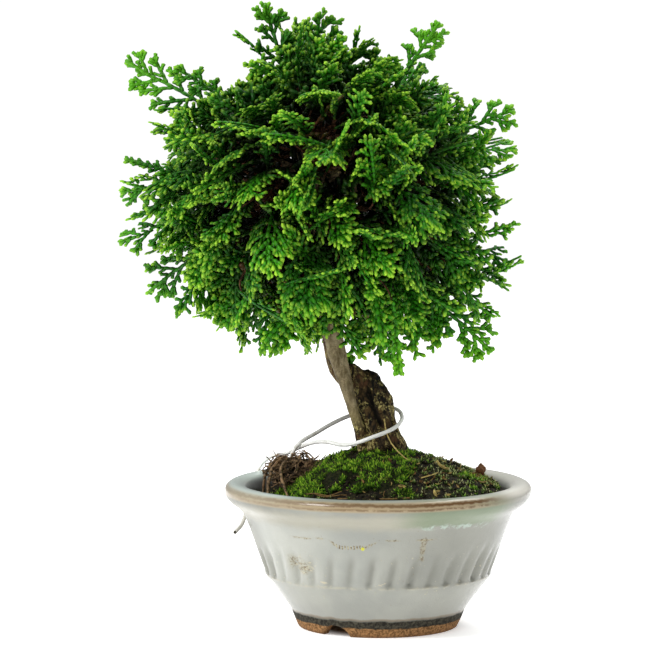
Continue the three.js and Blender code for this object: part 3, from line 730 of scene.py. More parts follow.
def moss_reach(turn):
    """How far the moss spreads from the trunk: to the rim on the left and in front."""
    apart = np.abs(turn - MOSS_MIDDLE) % (2 * math.pi)
    off = np.minimum(apart, 2 * math.pi - apart)
    ragged = 1 + 0.05 * np.sin(7 * turn + 1) + 0.06 * np.sin(11 * turn)
    spread = MOSS_FAR + (MOSS_NEAR - MOSS_FAR) * step(off, MOSS_FULL, MOSS_NONE)
    return np.minimum(MOSS_LIMIT, spread * ragged)


def moss_finish():
    finish = Finish("live_moss", Specular_IOR_Level=0.12)
    tip, hue, dry = (finish.attribute(layer) for layer in CARPET_TONES)
    patch = finish.grain(9, 3, 0.6)
    # Near black at each shoot's foot and bright at its tip: older stems and fresh growth, with painted
    # shade among the shoots and a painted highlight on the tips.
    green = finish.mix(tip.rise(0.1, 0.7), MOSS_DARK_AND_SHADE, MOSS_GREEN)
    green = green.dyed(tip.rise(0.4, 1) * (hue * 0.8 + 0.15), MOSS_FRESH_AND_HIGHLIGHT)
    green = green.dyed(patch.rise(0.58, 0.7) * 0.6 * hue, MOSS_DEAD)
    # Dark patches of painted shade over the cushion.
    green = green.dyed(finish.grain(11, 3, 0.6).rise(0.5, 0.6) * 0.65, MOSS_DARK_AND_SHADE)
    crumb = finish.grain(1.2, 4, 0.7)
    green = green.dyed((1 - tip.rise(0.08, 0.2)) * crumb.rise(0.42, 0.6), MOSS_SHADOW)
    pale = finish.mix(tip.rise(0.3, 0.95), SOIL_BROWN, MOSS_DRY)
    finish.colour(green.dyed(dry, pale))
    finish.roughness(hue * 0.2 + 0.6)
    finish.relief(crumb, 0.6)
    return finish.material


# The cushion itself: a low carpet that dips into the earth at its edge.
radii = np.linspace(CARPET_EDGE, CARPET_HEART, CARPET_RINGS)
carpet = pulled("moss_carpet", [(0, 0, 80, r, r) for r in radii], SOIL_SIDES, capped=False)
points = places(carpet)
turn = np.arctan2(points[:, 1], points[:, 0])
share = (np.hypot(points[:, 0], points[:, 1]) - CARPET_HEART) / (CARPET_EDGE - CARPET_HEART)
reach = CARPET_HEART + (moss_reach(turn) - CARPET_HEART) * share
points[:, 0], points[:, 1] = reach * np.cos(turn), reach * np.sin(turn)
cushion = CARPET_RISE + CARPET_LUMPS * ripple(points * (1, 1, 0), 6, 3, 2)
thin = 1 - step(share, 0.8, 1)
points[:, 2] = mound_height(points[:, 0], points[:, 1]) - CARPET_SUNK + cushion * thin
put(carpet, points)
finish_with(carpet, "SOLIDIFY", thickness=CARPET_THICK * MM, offset=1)
for layer, value in CARPET_TONES.items():
    mark(carpet, layer, value)

# One shoot: leaves that lean out from one foot round an upright one.
deselect()
bpy.ops.mesh.primitive_cone_add(
    vertices=3, radius1=LEAF_HALF * MM, depth=LEAF_TALL * MM, location=spot(0, 0, LEAF_TALL / 2))
bpy.ops.object.transform_apply(location=True)
leaf_points, leaf_faces = pattern_of(bpy.context.object)
around = np.arange(LEAVES) * 2 * math.pi / (LEAVES - 1)
lean = np.array([LEAN_OUT] * (LEAVES - 1) + [LEAN_MIDDLE])
leaf_turns = turn_about(np.c_[np.cos(around), np.sin(around), 0 * around], lean)
leaf_sizes = np.array([SIZE_OUT] * (LEAVES - 1) + [SIZE_MIDDLE])
shoot_points, shoot_faces = scattered(
    leaf_points, leaf_faces, np.zeros((LEAVES, 3)), leaf_turns, leaf_sizes)

# Where shoots grow: on the cushion in clumps, and in strays on the earth round it.
turn = rng.random(4 * MOSS_SHOOTS) * 2 * math.pi
reach = SHOOTS_FROM + (SHOOTS_TO - SHOOTS_FROM) * np.sqrt(rng.random(4 * MOSS_SHOOTS))
x, y = reach * np.cos(turn), reach * np.sin(turn)
ground = np.c_[x, y, 0 * x]
clump = ripple(ground, 6, 3, 2) + 0.5 * ripple(ground, 2.6, 2, 9)
stray = ripple(ground, 7, 3, 5)
front_right = (y < 0) & (x > 8) & (reach > 42)
grows = (reach < moss_reach(turn) - 2 * rng.random(len(turn))) | (front_right & (stray > 0.25))
grows &= clump > -0.35 + 0.4 * step(-y, 18, 42)
bare_patch = np.exp(-((x - BARE_PATCH[0]) / BARE_WIDE) ** 2 - ((y - BARE_PATCH[1]) / BARE_DEEP) ** 2)
grows &= bare_patch < 0.55 + 0.4 * clump
picked = np.flatnonzero(grows)[:MOSS_SHOOTS]
beyond = (reach > moss_reach(turn)) & ~grows
bare_earth = np.flatnonzero(beyond & (x > 20) & (stray > -0.12))[:DRY_SHOOTS]
low = np.flatnonzero(beyond & (clump > 0) & (stray < 0.1))
low = np.setdiff1d(low, bare_earth)[:LOW_SHOOTS]
dry = np.repeat([0.0, 1.0, 0.5], [len(picked), len(bare_earth), len(low)])
picked = np.concatenate([picked, bare_earth, low])
x, y, clump = x[picked], y[picked], clump[picked]
inside = (np.hypot(x, y) < moss_reach(np.arctan2(y, x))) & (dry == 0)
lift = np.where(inside, CARPET_LUMPS * clump - 0.3, 0)
tilt_axes = np.c_[rng.normal(size=(len(x), 2)), np.zeros(len(x))]
turns = turn_about(unit(tilt_axes), 1.2 * rng.random(len(x)))
spins = turn_about(np.tile((0.0, 0.0, 1.0), (len(x), 1)), rng.random(len(x)) * 6)
sizes = np.where(inside, 0.9, 0.75) * (0.5 + 0.75 * rng.random(len(x)))
shoots_at = np.c_[x, y, mound_height(x, y) - SHOOT_SUNK + lift]
points, faces = scattered(shoot_points, shoot_faces, shoots_at, turns @ spins, sizes)
tips = np.tile(shoot_points[:, 2] / LEAF_TALL, len(x))
shades = 0.45 + 0.5 * clump + 0.35 * rng.normal(size=len(x)) - 0.4 * (dry == 0.5)
shades = np.repeat(np.clip(shades, 0, 1), len(shoot_points))
dry *= np.clip(0.75 + 0.9 * clump, 0.1, 1)
layers = {"tip": tips, "hue": shades, "dry": np.repeat(dry, len(shoot_points))}
shoots = build_mesh("moss_shoots", points, faces, layers)
moss = joined("moss_cushion", [carpet, shoots])
cover(moss, moss_finish())
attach(moss, "root")
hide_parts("moss")


# ---- root tangle ----
# A nest of dead brown roots that lies at the left rim, thin strands wound over a matted heart, with
# three thicker roots that hang down its front.

NEST, NEST_REACH = np.array((-39.8, 4, 74.6)), np.array((12.8, 12, 7.5))
NEST_STRANDS, STRAND_KNOTS, LOOSE_ENDS = 170, 7, 40
LOOSE_RADII = [0.34, 0.3, 0.24, 0.16]
HEART_REACH, HEART_SUNK = (10.5, 8.5, 4.6), (0, 0, 2)
# The thicker roots: foot on the earth, top over the nest, radius.
HANGING_ROOTS = [
    ((-53, -20), (-49, -6), 0.95), ((-43, -31), (-46, -8), 0.8), ((-56, 2), (-50, 4), 0.8),
]
ROOT_DARK, ROOT_BROWN, ROOT_RED = (22, 16, 10), (164, 134, 98), (126, 92, 62)


def strands(name, lines, sides=1):
    """Round strands through points in millimetres, each with a radius at every point."""
    item = round_curve(name, lines, 1, sides, 2 if sides == 1 else 3)
    pick(item)
    bpy.ops.object.convert(target="MESH")
    return bpy.context.object


def root_finish():
    finish = Finish("dead_roots", Specular_IOR_Level=0.3)
    fibre = finish.grain(2.2, 4, 0.65)
    bark = finish.mix(fibre.rise(0.36, 0.66), ROOT_DARK, ROOT_BROWN)
    bark = bark.dyed(finish.grain(9, 2).rise(0.5, 0.7) * 0.6, ROOT_RED)
    # Painted shade: the strands darken towards the middle of the nest.
    offsets = [(axis - middle) / span for axis, middle, span in zip(finish.axes(), NEST, NEST_REACH)]
    outer = sum(offset * offset for offset in offsets).rise(0.4, 1.0)
    finish.colour(bark.dyed((1 - outer) * 0.85, ROOT_DARK))
    finish.roughness(fibre * 0.25 + 0.6)
    finish.relief(finish.grain(0.7, 3), 0.25)
    return finish.material


def wound(shell, first, sweep):
    """Points along an arc that winds over the nest in a plane of its own, at a share of its reach."""
    pole = rng.normal(size=3) * (1, 1, 0.7)
    one = unit(np.cross(pole, (0.3, 0.5, 0.8)))
    two = unit(np.cross(pole, one))
    knots = []
    for turn in first + sweep * np.linspace(0, 1, STRAND_KNOTS):
        way = one * math.cos(turn) + two * math.sin(turn) + 0.2 * rng.normal(size=3)
        x, y, z = NEST + way * shell * NEST_REACH
        knots.append((x, y, max(z, float(mound_height(x, y)) + 0.4 + 0.6 * rng.random())))
    return knots


rng = np.random.default_rng(19)
lines = []
for i in range(NEST_STRANDS):
    knots = wound(0.55 + 0.55 * rng.random() ** 0.7, 6 * rng.random(), 1.0 + 2.4 * rng.random())
    thick = 0.2 + 0.42 * rng.random() ** 2
    lines.append((knots, [thick * (1.1 - 0.6 * share) for share in np.linspace(0, 1, STRAND_KNOTS)]))
for i in range(LOOSE_ENDS):
    out = unit(rng.normal(size=3) * (1, 0.8, 0.5) + (0, -0.5, 0.4))
    start = NEST + out * NEST_REACH * 0.8
    sway = rng.normal(size=3)
    steps = (0, 2, 4, 5 + 3 * rng.random())
    knots = [start + (out * far + sway * 0.25 * far * far / 6) for far in steps]
    lines.append((knots, LOOSE_RADII))
for foot, top, thick in HANGING_ROOTS:
    low = (*foot, float(mound_height(*foot)) + 0.6)
    high = (*top, NEST[2] + 6.5)
    bow = tuple((a + b) / 2 + c for a, b, c in zip(low, high, (-2.4, -2, 1.2)))
    back = (top[0] + 6, top[1] + 9, NEST[2] + 4)
    lines.append(([low, bow, high, back], [thick * 0.7, thick, thick, thick * 0.6]))
nest = strands("root_strands", lines)

heart = ball(4)
points = places(heart)
points *= (1 + 0.22 * ripple(points, 0.25, 3, 3))[:, None]
put(heart, points * HEART_REACH + NEST - HEART_SUNK)
tangle = joined("root_nest", [nest, heart])
smooth(tangle)
cover(tangle, root_finish())
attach(tangle, "root")
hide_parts("root_tangle")


# ---- trunk ----
# The old trunk, dark and furrowed, ends in a broken top. A younger stem with smooth grey bark has
# grown up in front of it and leans to the left on its way into the crown, with a rough limb behind.

OLD_TRUNK = [
    (1.2, 0, 75, 10.4, 8.6), (1.3, 0, 84, 11.6, 9.8), (1.1, 0, 89, 12, 10.4), (0.2, 0, 94, 10.4, 9.6),
    (-1, 0.4, 100.8, 9.4, 9.2), (-1.1, 0.8, 106, 9.2, 9), (-1.6, 1.4, 111, 8.6, 8.8),
    (-4.2, 1.8, 117, 7, 7.8), (-5.8, 2, 121.5, 5.6, 5.8), (-6.6, 2.2, 124, 3.6, 3.6),
    (-7, 2.2, 125.2, 1.8, 1.8),
]
# What is left of its torn side, up against the live stem.
SHOULDER = [
    (-7, 1, 110, 4.4, 4.6), (-8.6, 0.6, 118, 4.4, 4.4), (-10.6, 0.2, 123.6, 3.8, 3.8),
    (-12, -0.3, 126.4, 2.8, 3), (-13, -0.6, 128.4, 1.2, 1.4),
]
LIVE_STEM = [
    (-6.4, -4.4, 90, 4.4), (-8.2, -5.4, 95, 3.4), (-10.2, -6.6, 100.5, 2.7), (-12, -7.2, 105.6, 2.6),
    (-13.7, -7, 111.6, 2.8), (-15.8, -6, 118.5, 3.3), (-17.7, -5, 124.5, 3.8), (-20.4, -3.5, 134.7, 4.5),
    (-23, -2, 147, 4.8), (-26, 0, 165, 4.7), (-28.5, 0.5, 190, 4), (-29.5, 0, 213, 3.2),
    (-30, -1, 232, 2.4),
]
OLD_LIMB = [
    (-5, 3.6, 106, 4.4), (-13, 4.2, 116, 4.8), (-18.6, 3.6, 124, 5), (-21.2, 3, 131, 4.6),
    (-23.8, 2.4, 141, 3.8), (-26.4, 1.4, 156, 3.2), (-27.4, 0.6, 166, 2.4),
]
# The cleft: direction and how it winds, in degrees, with its width, depth, middle and two ends.
CLEFT_TURN, CLEFT_WIND, CLEFT_WIDE, CLEFT_DEPTH, CLEFT_MIDDLE = -91, -3.7, 13, 3.6, 104.7
CLEFT_FOOT, CLEFT_TOP = (95, 101), (115, 121)
BULGE_TURN, BULGE_WIDE, BULGE_OUT, BULGE_MIDDLE, BULGE_TALL = -62, 24, 1.2, 107, 7
# Surface roots: direction, reach, radius. Each drops to the earth at shares of its reach.
FOOT_ROOTS = [(20, 18, 2.4), (75, 17, 2), (130, 16, 2), (215, 15, 1.8), (330, 18, 2.2)]
ROOT_DROP = [(0.4, 9), (0.55, 4.5), (0.75, 0.6), (1, -2.4)]
BARK_GREY, BARK_PALE, BARK_SHADE = (158, 142, 108), (196, 182, 146), (92, 78, 50)
OLD_DARK, OLD_BROWN, OLD_PALE, OLD_RED = (11, 8, 4), (86, 67, 38), (192, 178, 112), (96, 60, 40)


def bark_finish():
    finish = Finish("bark", Specular_IOR_Level=0.3)
    x, y, z = finish.axes()
    old = 1 - (1 - finish.attribute("old")) * z.rise(96, 106)
    furrow = finish.grain(4.6, 5, 0.7, stretch=(1, 1, 0.45), warp=1.2)
    flake = finish.grain(5, 4, 0.65)
    plate = finish.cells(3.4, "DISTANCE_TO_EDGE", stretch=(1, 1, 0.5)).rise(0.0, 0.12) * 0.6 + 0.4
    smooth_bark = finish.mix(furrow.rise(0.35, 0.68), BARK_SHADE, BARK_GREY)
    smooth_bark = smooth_bark.dyed(flake.rise(0.45, 0.75) * 0.5, BARK_PALE)
    knots = finish.grain(1.4, 3, stretch=(0.6, 0.6, 1.5)).rise(0.64, 0.72)
    smooth_bark = smooth_bark.dyed(knots * 0.6, OLD_DARK)
    pores = finish.grain(0.8, 4, 0.7, stretch=(0.7, 0.7, 1.4)).rise(0.48, 0.66)
    smooth_bark = smooth_bark.dyed(pores * 0.5, BARK_SHADE)
    smooth_bark = smooth_bark.dyed((1 - z.rise(98, 112)) * 0.35, OLD_PALE)
    rough_bark = finish.mix(furrow.rise(0.4, 0.6) * plate, OLD_DARK, OLD_BROWN)
    edges = (x + (z - 107) * 0.14).rise(4.5, 8) + (1 - (x + (z - 107) * 0.34).rise(-8.6, -5.6))
    lichen = (flake + edges * 0.1).rise(0.5, 0.6) * finish.grain(1.2, 4, 0.7).rise(0.44, 0.58) * plate
    rough_bark = rough_bark.dyed(lichen, OLD_PALE)
    red = finish.grain(8, 3).rise(0.56, 0.66) * 0.5
    red = red + finish.attribute("torn") * furrow.rise(0.35, 0.6) * 0.7
    rough_bark = rough_bark.dyed(red * plate, OLD_RED)
    bark = finish.mix(old, smooth_bark, rough_bark)
    # Painted shade in the cleft.
    finish.colour(bark.dyed(finish.attribute("cleft").rise(0.15, 0.9) * 0.95, OLD_DARK))
    finish.roughness(old * 0.15 + 0.7)
    ridges = (furrow + plate * 0.6 + finish.grain(0.8, 3) * 0.4) * (old * 0.8 + 0.25)
    finish.relief(ridges, 1.1)
    return finish.material


def in_between(rows, count):
    """The rows with more rows between them, on a smooth curve."""
    rows = np.array(rows, float)
    spots = np.linspace(0, len(rows) - 1, count)
    low = np.minimum(spots.astype(int), len(rows) - 2)
    t = (spots - low)[:, None]
    before, after = rows[np.maximum(low - 1, 0)], rows[np.minimum(low + 2, len(rows) - 1)]
    first, second = rows[low], rows[low + 1]
    curve = 2 * first + (second - before) * t + (2 * before - 5 * first + 4 * second - after) * t ** 2
    return (curve + (3 * first - before - 3 * second + after) * t ** 3) / 2


def roughened(item, depth, size, seed):
    """Moves the skin of a piece about by fractal noise."""
    points = places(item)
    put(item, points + depth * np.stack([ripple(points, size, 3, seed + k) for k in range(3)], -1))


def grown(name, rows, steps, sides, depth, seed, old):
    """A stem pulled up through rows of places, with folds and furrows pressed into its side."""
    rows = in_between([(*row, row[-1]) if len(row) == 4 else row for row in rows], steps)
    item = pulled(name, rows, sides)
    points = places(item)
    middle = np.stack([np.interp(points[:, 2], rows[:, 2], rows[:, k]) for k in range(2)], -1)
    away = points[:, :2] - middle
    radius = np.maximum(np.hypot(*away.T), 0.5)
    turn = np.arctan2(away[:, 1], away[:, 0]) + 0.012 * (points[:, 2] - 100)
    round_trunk = np.c_[np.cos(turn) * 9, np.sin(turn) * 9, points[:, 2] * 0.22]
    folds = ripple(round_trunk, 4.2, 2, seed) * 1.1 + ripple(round_trunk, 1.7, 3, seed + 1) * 0.55
    pressed = 1 + depth * folds / radius
    points[:, :2] = middle + away * pressed[:, None]
    points[:, 2] += 0.5 * depth * ripple(points, 3.5, 3, seed + 2)
    put(item, points)
    mark(item, "old", old)
    return item


# The old trunk, with a deep cleft that winds down its front and a bulge beside it.
old_trunk = grown("old_trunk", OLD_TRUNK, 90, 90, depth=1.7, seed=11, old=1)
points = places(old_trunk)
away = points[:, :2] - (-1.2, 0.6)
turn = np.degrees(np.arctan2(away[:, 1], away[:, 0]))
height = points[:, 2]
off = turn - CLEFT_TURN - CLEFT_WIND * (height - CLEFT_MIDDLE)
cleft = np.exp(-(off / CLEFT_WIDE) ** 2) * step(height, *CLEFT_FOOT) * (1 - step(height, *CLEFT_TOP))
bulge = np.exp(-((turn - BULGE_TURN) / BULGE_WIDE) ** 2 - ((height - BULGE_MIDDLE) / BULGE_TALL) ** 2)
out = (BULGE_OUT * bulge - CLEFT_DEPTH * cleft)[:, None]
points[:, :2] += away / np.maximum(np.hypot(*away.T), 1)[:, None] * out
put(old_trunk, points)
mark(old_trunk, "cleft", cleft)

shoulder = grown("shoulder", SHOULDER, 40, 36, depth=0.9, seed=51, old=1)
live_stem = grown("live_stem", LIVE_STEM, 90, 40, depth=0.32, seed=21, old=0)
old_limb = grown("old_limb", OLD_LIMB, 60, 36, depth=0.8, seed=31, old=0.9)
mark(old_limb, "torn", 1)

# The surface roots, down into the moss.
root_lines = []
for turn, reach, thick in FOOT_ROOTS:
    way = Vector((math.cos(math.radians(turn)), math.sin(math.radians(turn)), 0))
    knots = []
    for share, lift in ROOT_DROP:
        x, y = (way * reach * share).xy
        knots.append((x, y, float(mound_height(x, y)) + lift))
    root_lines.append((knots, [thick, thick * 1.05, thick * 0.8, thick * 0.4]))
foot_roots = strands("foot_roots", root_lines, 4)
roughened(foot_roots, 0.5, 2.4, 41)
mark(foot_roots, "old", 1)
trunk = joined("trunk_wood", [old_trunk, shoulder, live_stem, old_limb, foot_roots])
smooth(trunk)
cover(trunk, bark_finish())
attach(trunk, "root")
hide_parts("trunk")


# ---- crown: how the sprays lie ----
# The crown is a ball of flat sprays of scale leaves on short side branches. The sprays are spread
# evenly in every direction, with some longer ones that stick out of the ball.

CROWN_MIDDLE = np.array((-28.6, 0, 213.7))
CROWN_DEPTH, CROWN_HOLLOW, CROWN_ROOT = 87, 0.46, 0.36
CROWN_DROOP, CROWN_TILT, MEAN_REACH, WIDEST = 0.1, 0.9, 92, 0.185
SPRAYS, BRANCHES = 106, 34
# Radius of the crown seen from the front, every 20 degrees anticlockwise from +X.
CROWN_RADII = np.array([87, 95, 82, 77, 78, 88, 74, 86, 84, 90, 92, 89, 83, 79, 90, 88, 100, 95])
# Long sprays: angle seen from the front, reach, lean to the back, roll.
LEADERS = [
    (147, 112, 0.05, 85), (154, 108, -0.2, 80), (108, 97, 0, 12), (57, 99, 0.1, 80), (22, 102, 0, 75),
    (12, 99, -0.25, 30), (-18, 105, 0.05, 45), (-39, 114, -0.1, 80), (-51, 108, -0.15, 35),
    (-68, 98, -0.3, 70), (178, 99, 0.05, 50), (197, 101, 0, -40), (211, 97, 0.15, 65),
    (243, 88, -0.1, 20), (90, 87, -0.15, 25),
]
# The same sprays, grown on: swing seen from the front in degrees, reach, half the angle they fill.
LEADER_TRIM = [
    (-1.3, 114.5, 0.115), (-14.5, 95, 0.085), (-1.5, 95.5, 0.12), (-3, 102, 0.09), (0.5, 104, 0.13),
    (2, 101, 0.16), (-3, 103, 0.12), (-4.5, 117, 0.12), (0, 94, 0.14), (2.5, 99, 0.06), (2, 99, 0.14),
    (-3, 103, 0.13), (-1, 100, 0.15), (0, 90, 0.16), (0, 88.5, 0.15),
]
# Hollows in the outline: angle seen from the front, width, share of the radius that is left.
DENTS = [(129, 10, 0.78), (29, 5, 0.9), (-76, 6, 0.9), (160, 8, 0.95)]


def chance(a, b):
    """A repeatable number from 0 to 1 for a pair of counters."""
    s = math.sin(a * 12.9898 + b * 78.233) * 43758.5453
    return s - math.floor(s)


def spread_directions(count, pinned):
    """Directions spread evenly over a sphere, pushed apart, round some that stay."""
    free = count - len(pinned)
    i = np.arange(free)
    z = 1 - (2 * i + 1) / free
    golden = math.pi * (3 - math.sqrt(5)) * i
    ring = np.sqrt(1 - z * z)
    ways = np.vstack([pinned, np.c_[ring * np.cos(golden), ring * np.sin(golden), z]])
    rounds = 90
    for turn in range(rounds):
        away = ways[:, None] - ways[None]
        far = np.linalg.norm(away, axis=2)
        push = (away / (far ** 4 + 1e-6)[:, :, None]).sum(1)[len(pinned):]
        push *= 0.0016 * (1 - turn / rounds)
        length = np.linalg.norm(push, axis=1, keepdims=True)
        push *= np.minimum(1, 0.04 / np.maximum(length, 1e-9))
        ways[len(pinned):] = unit(ways[len(pinned):] + push)
    return ways


def crown_radius(ways):
    """The crown's radius in each direction: its front outline, drawn in towards its depth."""
    ways = np.atleast_2d(ways)
    count = len(CROWN_RADII)
    turn = (np.arctan2(ways[:, 2], ways[:, 0]) / (2 * math.pi) + 1) % 1 * count
    low = np.floor(turn).astype(int) % count
    share = turn % 1
    flat = CROWN_RADII[low] * (1 - share) + CROWN_RADII[(low + 1) % count] * share
    return 1 / np.hypot(np.hypot(ways[:, 0], ways[:, 2]) / flat, ways[:, 1] / CROWN_DEPTH)


def bent(points):
    """The crown's own bend: sprays start out upwards and arch over, each a little differently."""
    away = points - CROWN_MIDDLE
    r = np.linalg.norm(away, axis=-1, keepdims=True)
    slide = CROWN_DROOP * (1 - (np.minimum(r, 98) / MEAN_REACH) ** 2)
    way = away / r
    x, y, z = way[..., 0], way[..., 1], way[..., 2]
    pull = np.stack([np.sin(3 * z + 0.5), np.sin(3 * x + 2), np.sin(3 * y + 4) + 1], -1)
    pull -= way * (pull * way).sum(-1, keepdims=True)
    return unit(way + pull * slide) * r + CROWN_MIDDLE


down_the_trunk = unit(np.array((8.4, 0, -76.7)))


def lay_sprays():
    """Every main spray: its direction, reach, roll and the angle that it may fill."""
    leaders = [unit(np.array((math.cos(math.radians(a)), lean, math.sin(math.radians(a)))))
               for a, _, lean, _ in LEADERS]
    ways = spread_directions(SPRAYS + 1, np.array([down_the_trunk, *leaders]))
    sprays = []
    for i, out in enumerate(ways[1:], 1):
        others = np.delete(ways, i, axis=0) @ out
        nearest = math.acos(min(1, others.max()))
        leader = LEADERS[i - 1] if i <= len(LEADERS) else None
        level = np.array((1.0, 0, 0)) if abs(out[2]) > 0.93 else unit(np.cross((0, 0, 1), out))
        roll = math.radians(leader[3] if leader else (chance(i, 2) - 0.5) * 130)
        flat = unit(level - out * (level @ out))
        side = flat * math.cos(roll) + np.cross(out, flat) * math.sin(roll)
        reach = leader[1] if leader else crown_radius(out)[0] * (0.93 + 0.09 * chance(i, 3))
        sprays.append({
            "out": out, "side": side, "face": np.cross(out, side), "reach": reach,
            "spread": min(WIDEST, nearest / 2 - 0.008), "tilt": 0.2 if leader else CROWN_TILT,
            "open": 1.3 if leader else 1,
        })
    return sprays


def lay_branches(sprays):
    """The sprays shared out between the side branches that carry them."""
    heads = spread_directions(BRANCHES + 1, np.array([down_the_trunk]))[1:]
    outs = np.array([spray["out"] for spray in sprays])
    reaches = np.array([spray["reach"] for spray in sprays])
    for _ in range(12):
        owner = (outs @ heads.T).argmax(1)
        heads = unit(np.array([outs[owner == k].sum(0) for k in range(BRANCHES)]))
    branches = []
    for k, head in enumerate(heads):
        reach = reaches[owner == k].mean()
        root = bent(CROWN_MIDDLE + head * CROWN_ROOT * reach)
        outward = unit(bent(CROWN_MIDDLE + head * (CROWN_ROOT * reach + 3)) - root)
        mine = [spray for spray, whose in zip(sprays, owner) if whose == k]
        branches.append({"root": root, "outward": outward, "head": head, "sprays": mine, "fillers": []})
    return branches


def dent(way):
    """Share of the crown's radius that is left where its outline has a hollow."""
    turn = math.degrees(math.atan2(way[2], way[0]))
    share = 1.0
    for middle, width, keep in DENTS:
        off = (turn - middle + 180) % 360 - 180
        share -= (1 - keep) * math.exp(-(off / width) ** 2) * math.hypot(way[0], way[2]) ** 3
    return share


def sticks_out(point):
    """Whether a point lies outside the crown's outline."""
    away = point - CROWN_MIDDLE
    way = unit(away)
    return np.linalg.norm(away) > crown_radius(way)[0] * dent(way) * (0.97 + 0.2 * abs(way[1]))


main_sprays = lay_sprays()
branches = lay_branches(main_sprays)
for i, spray in enumerate(main_sprays):
    if i < len(LEADERS):
        turn, spray["reach"], spray["spread"] = LEADER_TRIM[i]
        swing = turn_about(np.array([[0.0, -1.0, 0.0]]), math.radians(turn))[0]
        for axis in ("out", "side", "face"):
            spray[axis] = swing @ spray[axis]
    else:
        edges = [dent(unit(spray["out"] + spray["side"] * off)) for off in (-0.15, 0, 0.15)]
        spray["reach"] *= min(edges) * (0.95 + 0.1 * chance(i, 5))
        spray["spread"] *= 0.62 + 0.38 * chance(i, 6)


# ---- side branches ----
# Thin brown branches inside the crown, of the same wood as the trunk. Each one has grown out of
# the live stem and carries one of the leafy branches.

BRANCH_RADII = [2.8, 2.5, 2.2, 2, 1.8, 1.6]
LOWEST_FORK, HIGHEST_FORK = 152, 228


def on_live_stem(z):
    rows = np.array(LIVE_STEM)
    return np.array([np.interp(z, rows[:, 2], rows[:, 0]), np.interp(z, rows[:, 2], rows[:, 1]), z])


def arc(start, middle, end, shares):
    """Places on a curve that leaves start towards middle and comes from there to end."""
    return [(1 - t) ** 2 * start + 2 * t * (1 - t) * middle + t * t * end for t in shares]


lines = []
for branch in branches:
    bend = branch["root"] - 13 * branch["outward"]
    height = bend[2] - 0.35 * math.hypot(bend[0] - CROWN_MIDDLE[0], bend[1])
    start = on_live_stem(min(max(height, LOWEST_FORK), HIGHEST_FORK))
    end = branch["root"] + 2 * branch["outward"]
    lines.append((arc(start, bend, end, np.linspace(0, 1, 6)), BRANCH_RADII))
side_branches = strands("side_branches", lines, 3)
roughened(side_branches, 0.35, 2, 51)
mark(side_branches, "old", 0.6)
smooth(side_branches)
cover(side_branches, trunk.data.materials[0])
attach(side_branches, "root")
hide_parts("trunk")


# ---- leafy branches ----
# Flat fans of scale leaves. A rib carries alternate side shoots, each with short blunt fingers, and
# every finger is a string of swollen scales, fresh yellow green at its tip and darker in painted shade
# at its foot and between its scales.

SCALE_WIDE, SCALE_FLAT, SCALE_LONG = 2.1, 0.66, 3.1
LATERAL_GAP, SHOOT_GAP, SHOOT_HALF, SHOOT_LONG = 2.4, 3.4, 4.6, 28
FEWEST_SCALES, MOST_SCALES = 2, 18
# Fingers grow from this share of a shoot on, at this angle in degrees, and the last two by its tip.
BARE_STALK, FINGER_ANGLE, TIP_BACK, TIP_ANGLE, TIP_FINGER = 0.14, 46, 3.8, 32, 4.2
# Lobes on a finger: the lengths from which it has one and two, their angle, length and its spread.
LOBED_FROM, LOBE_ANGLE, LOBE_LONG, LOBE_MORE = (3.8, 5.6), 38, 3.4, 1.6
FILLERS, OLD_FILLERS, DEAD = 390, 190, -1
FILLER_STUB, FILLER_SHORT, FILLER_LONG = 14, 24, 44
TIP_YELLOW, LEAF_GREEN, LEAF_DARK_AND_SHADE, LEAF_BLUE = (164, 212, 54), (59, 146, 8), (11, 17, 5), (28, 102, 14)
UNDER_PALE, LEAF_LIT = (76, 140, 52), (104, 186, 28)
LEAF_DEAD, TWIG_BROWN, TWIG_DARK = (112, 68, 44), (112, 74, 48), (48, 32, 20)
LEAF_LAYERS = ("tip", "hue", "scale", "under", "depth")
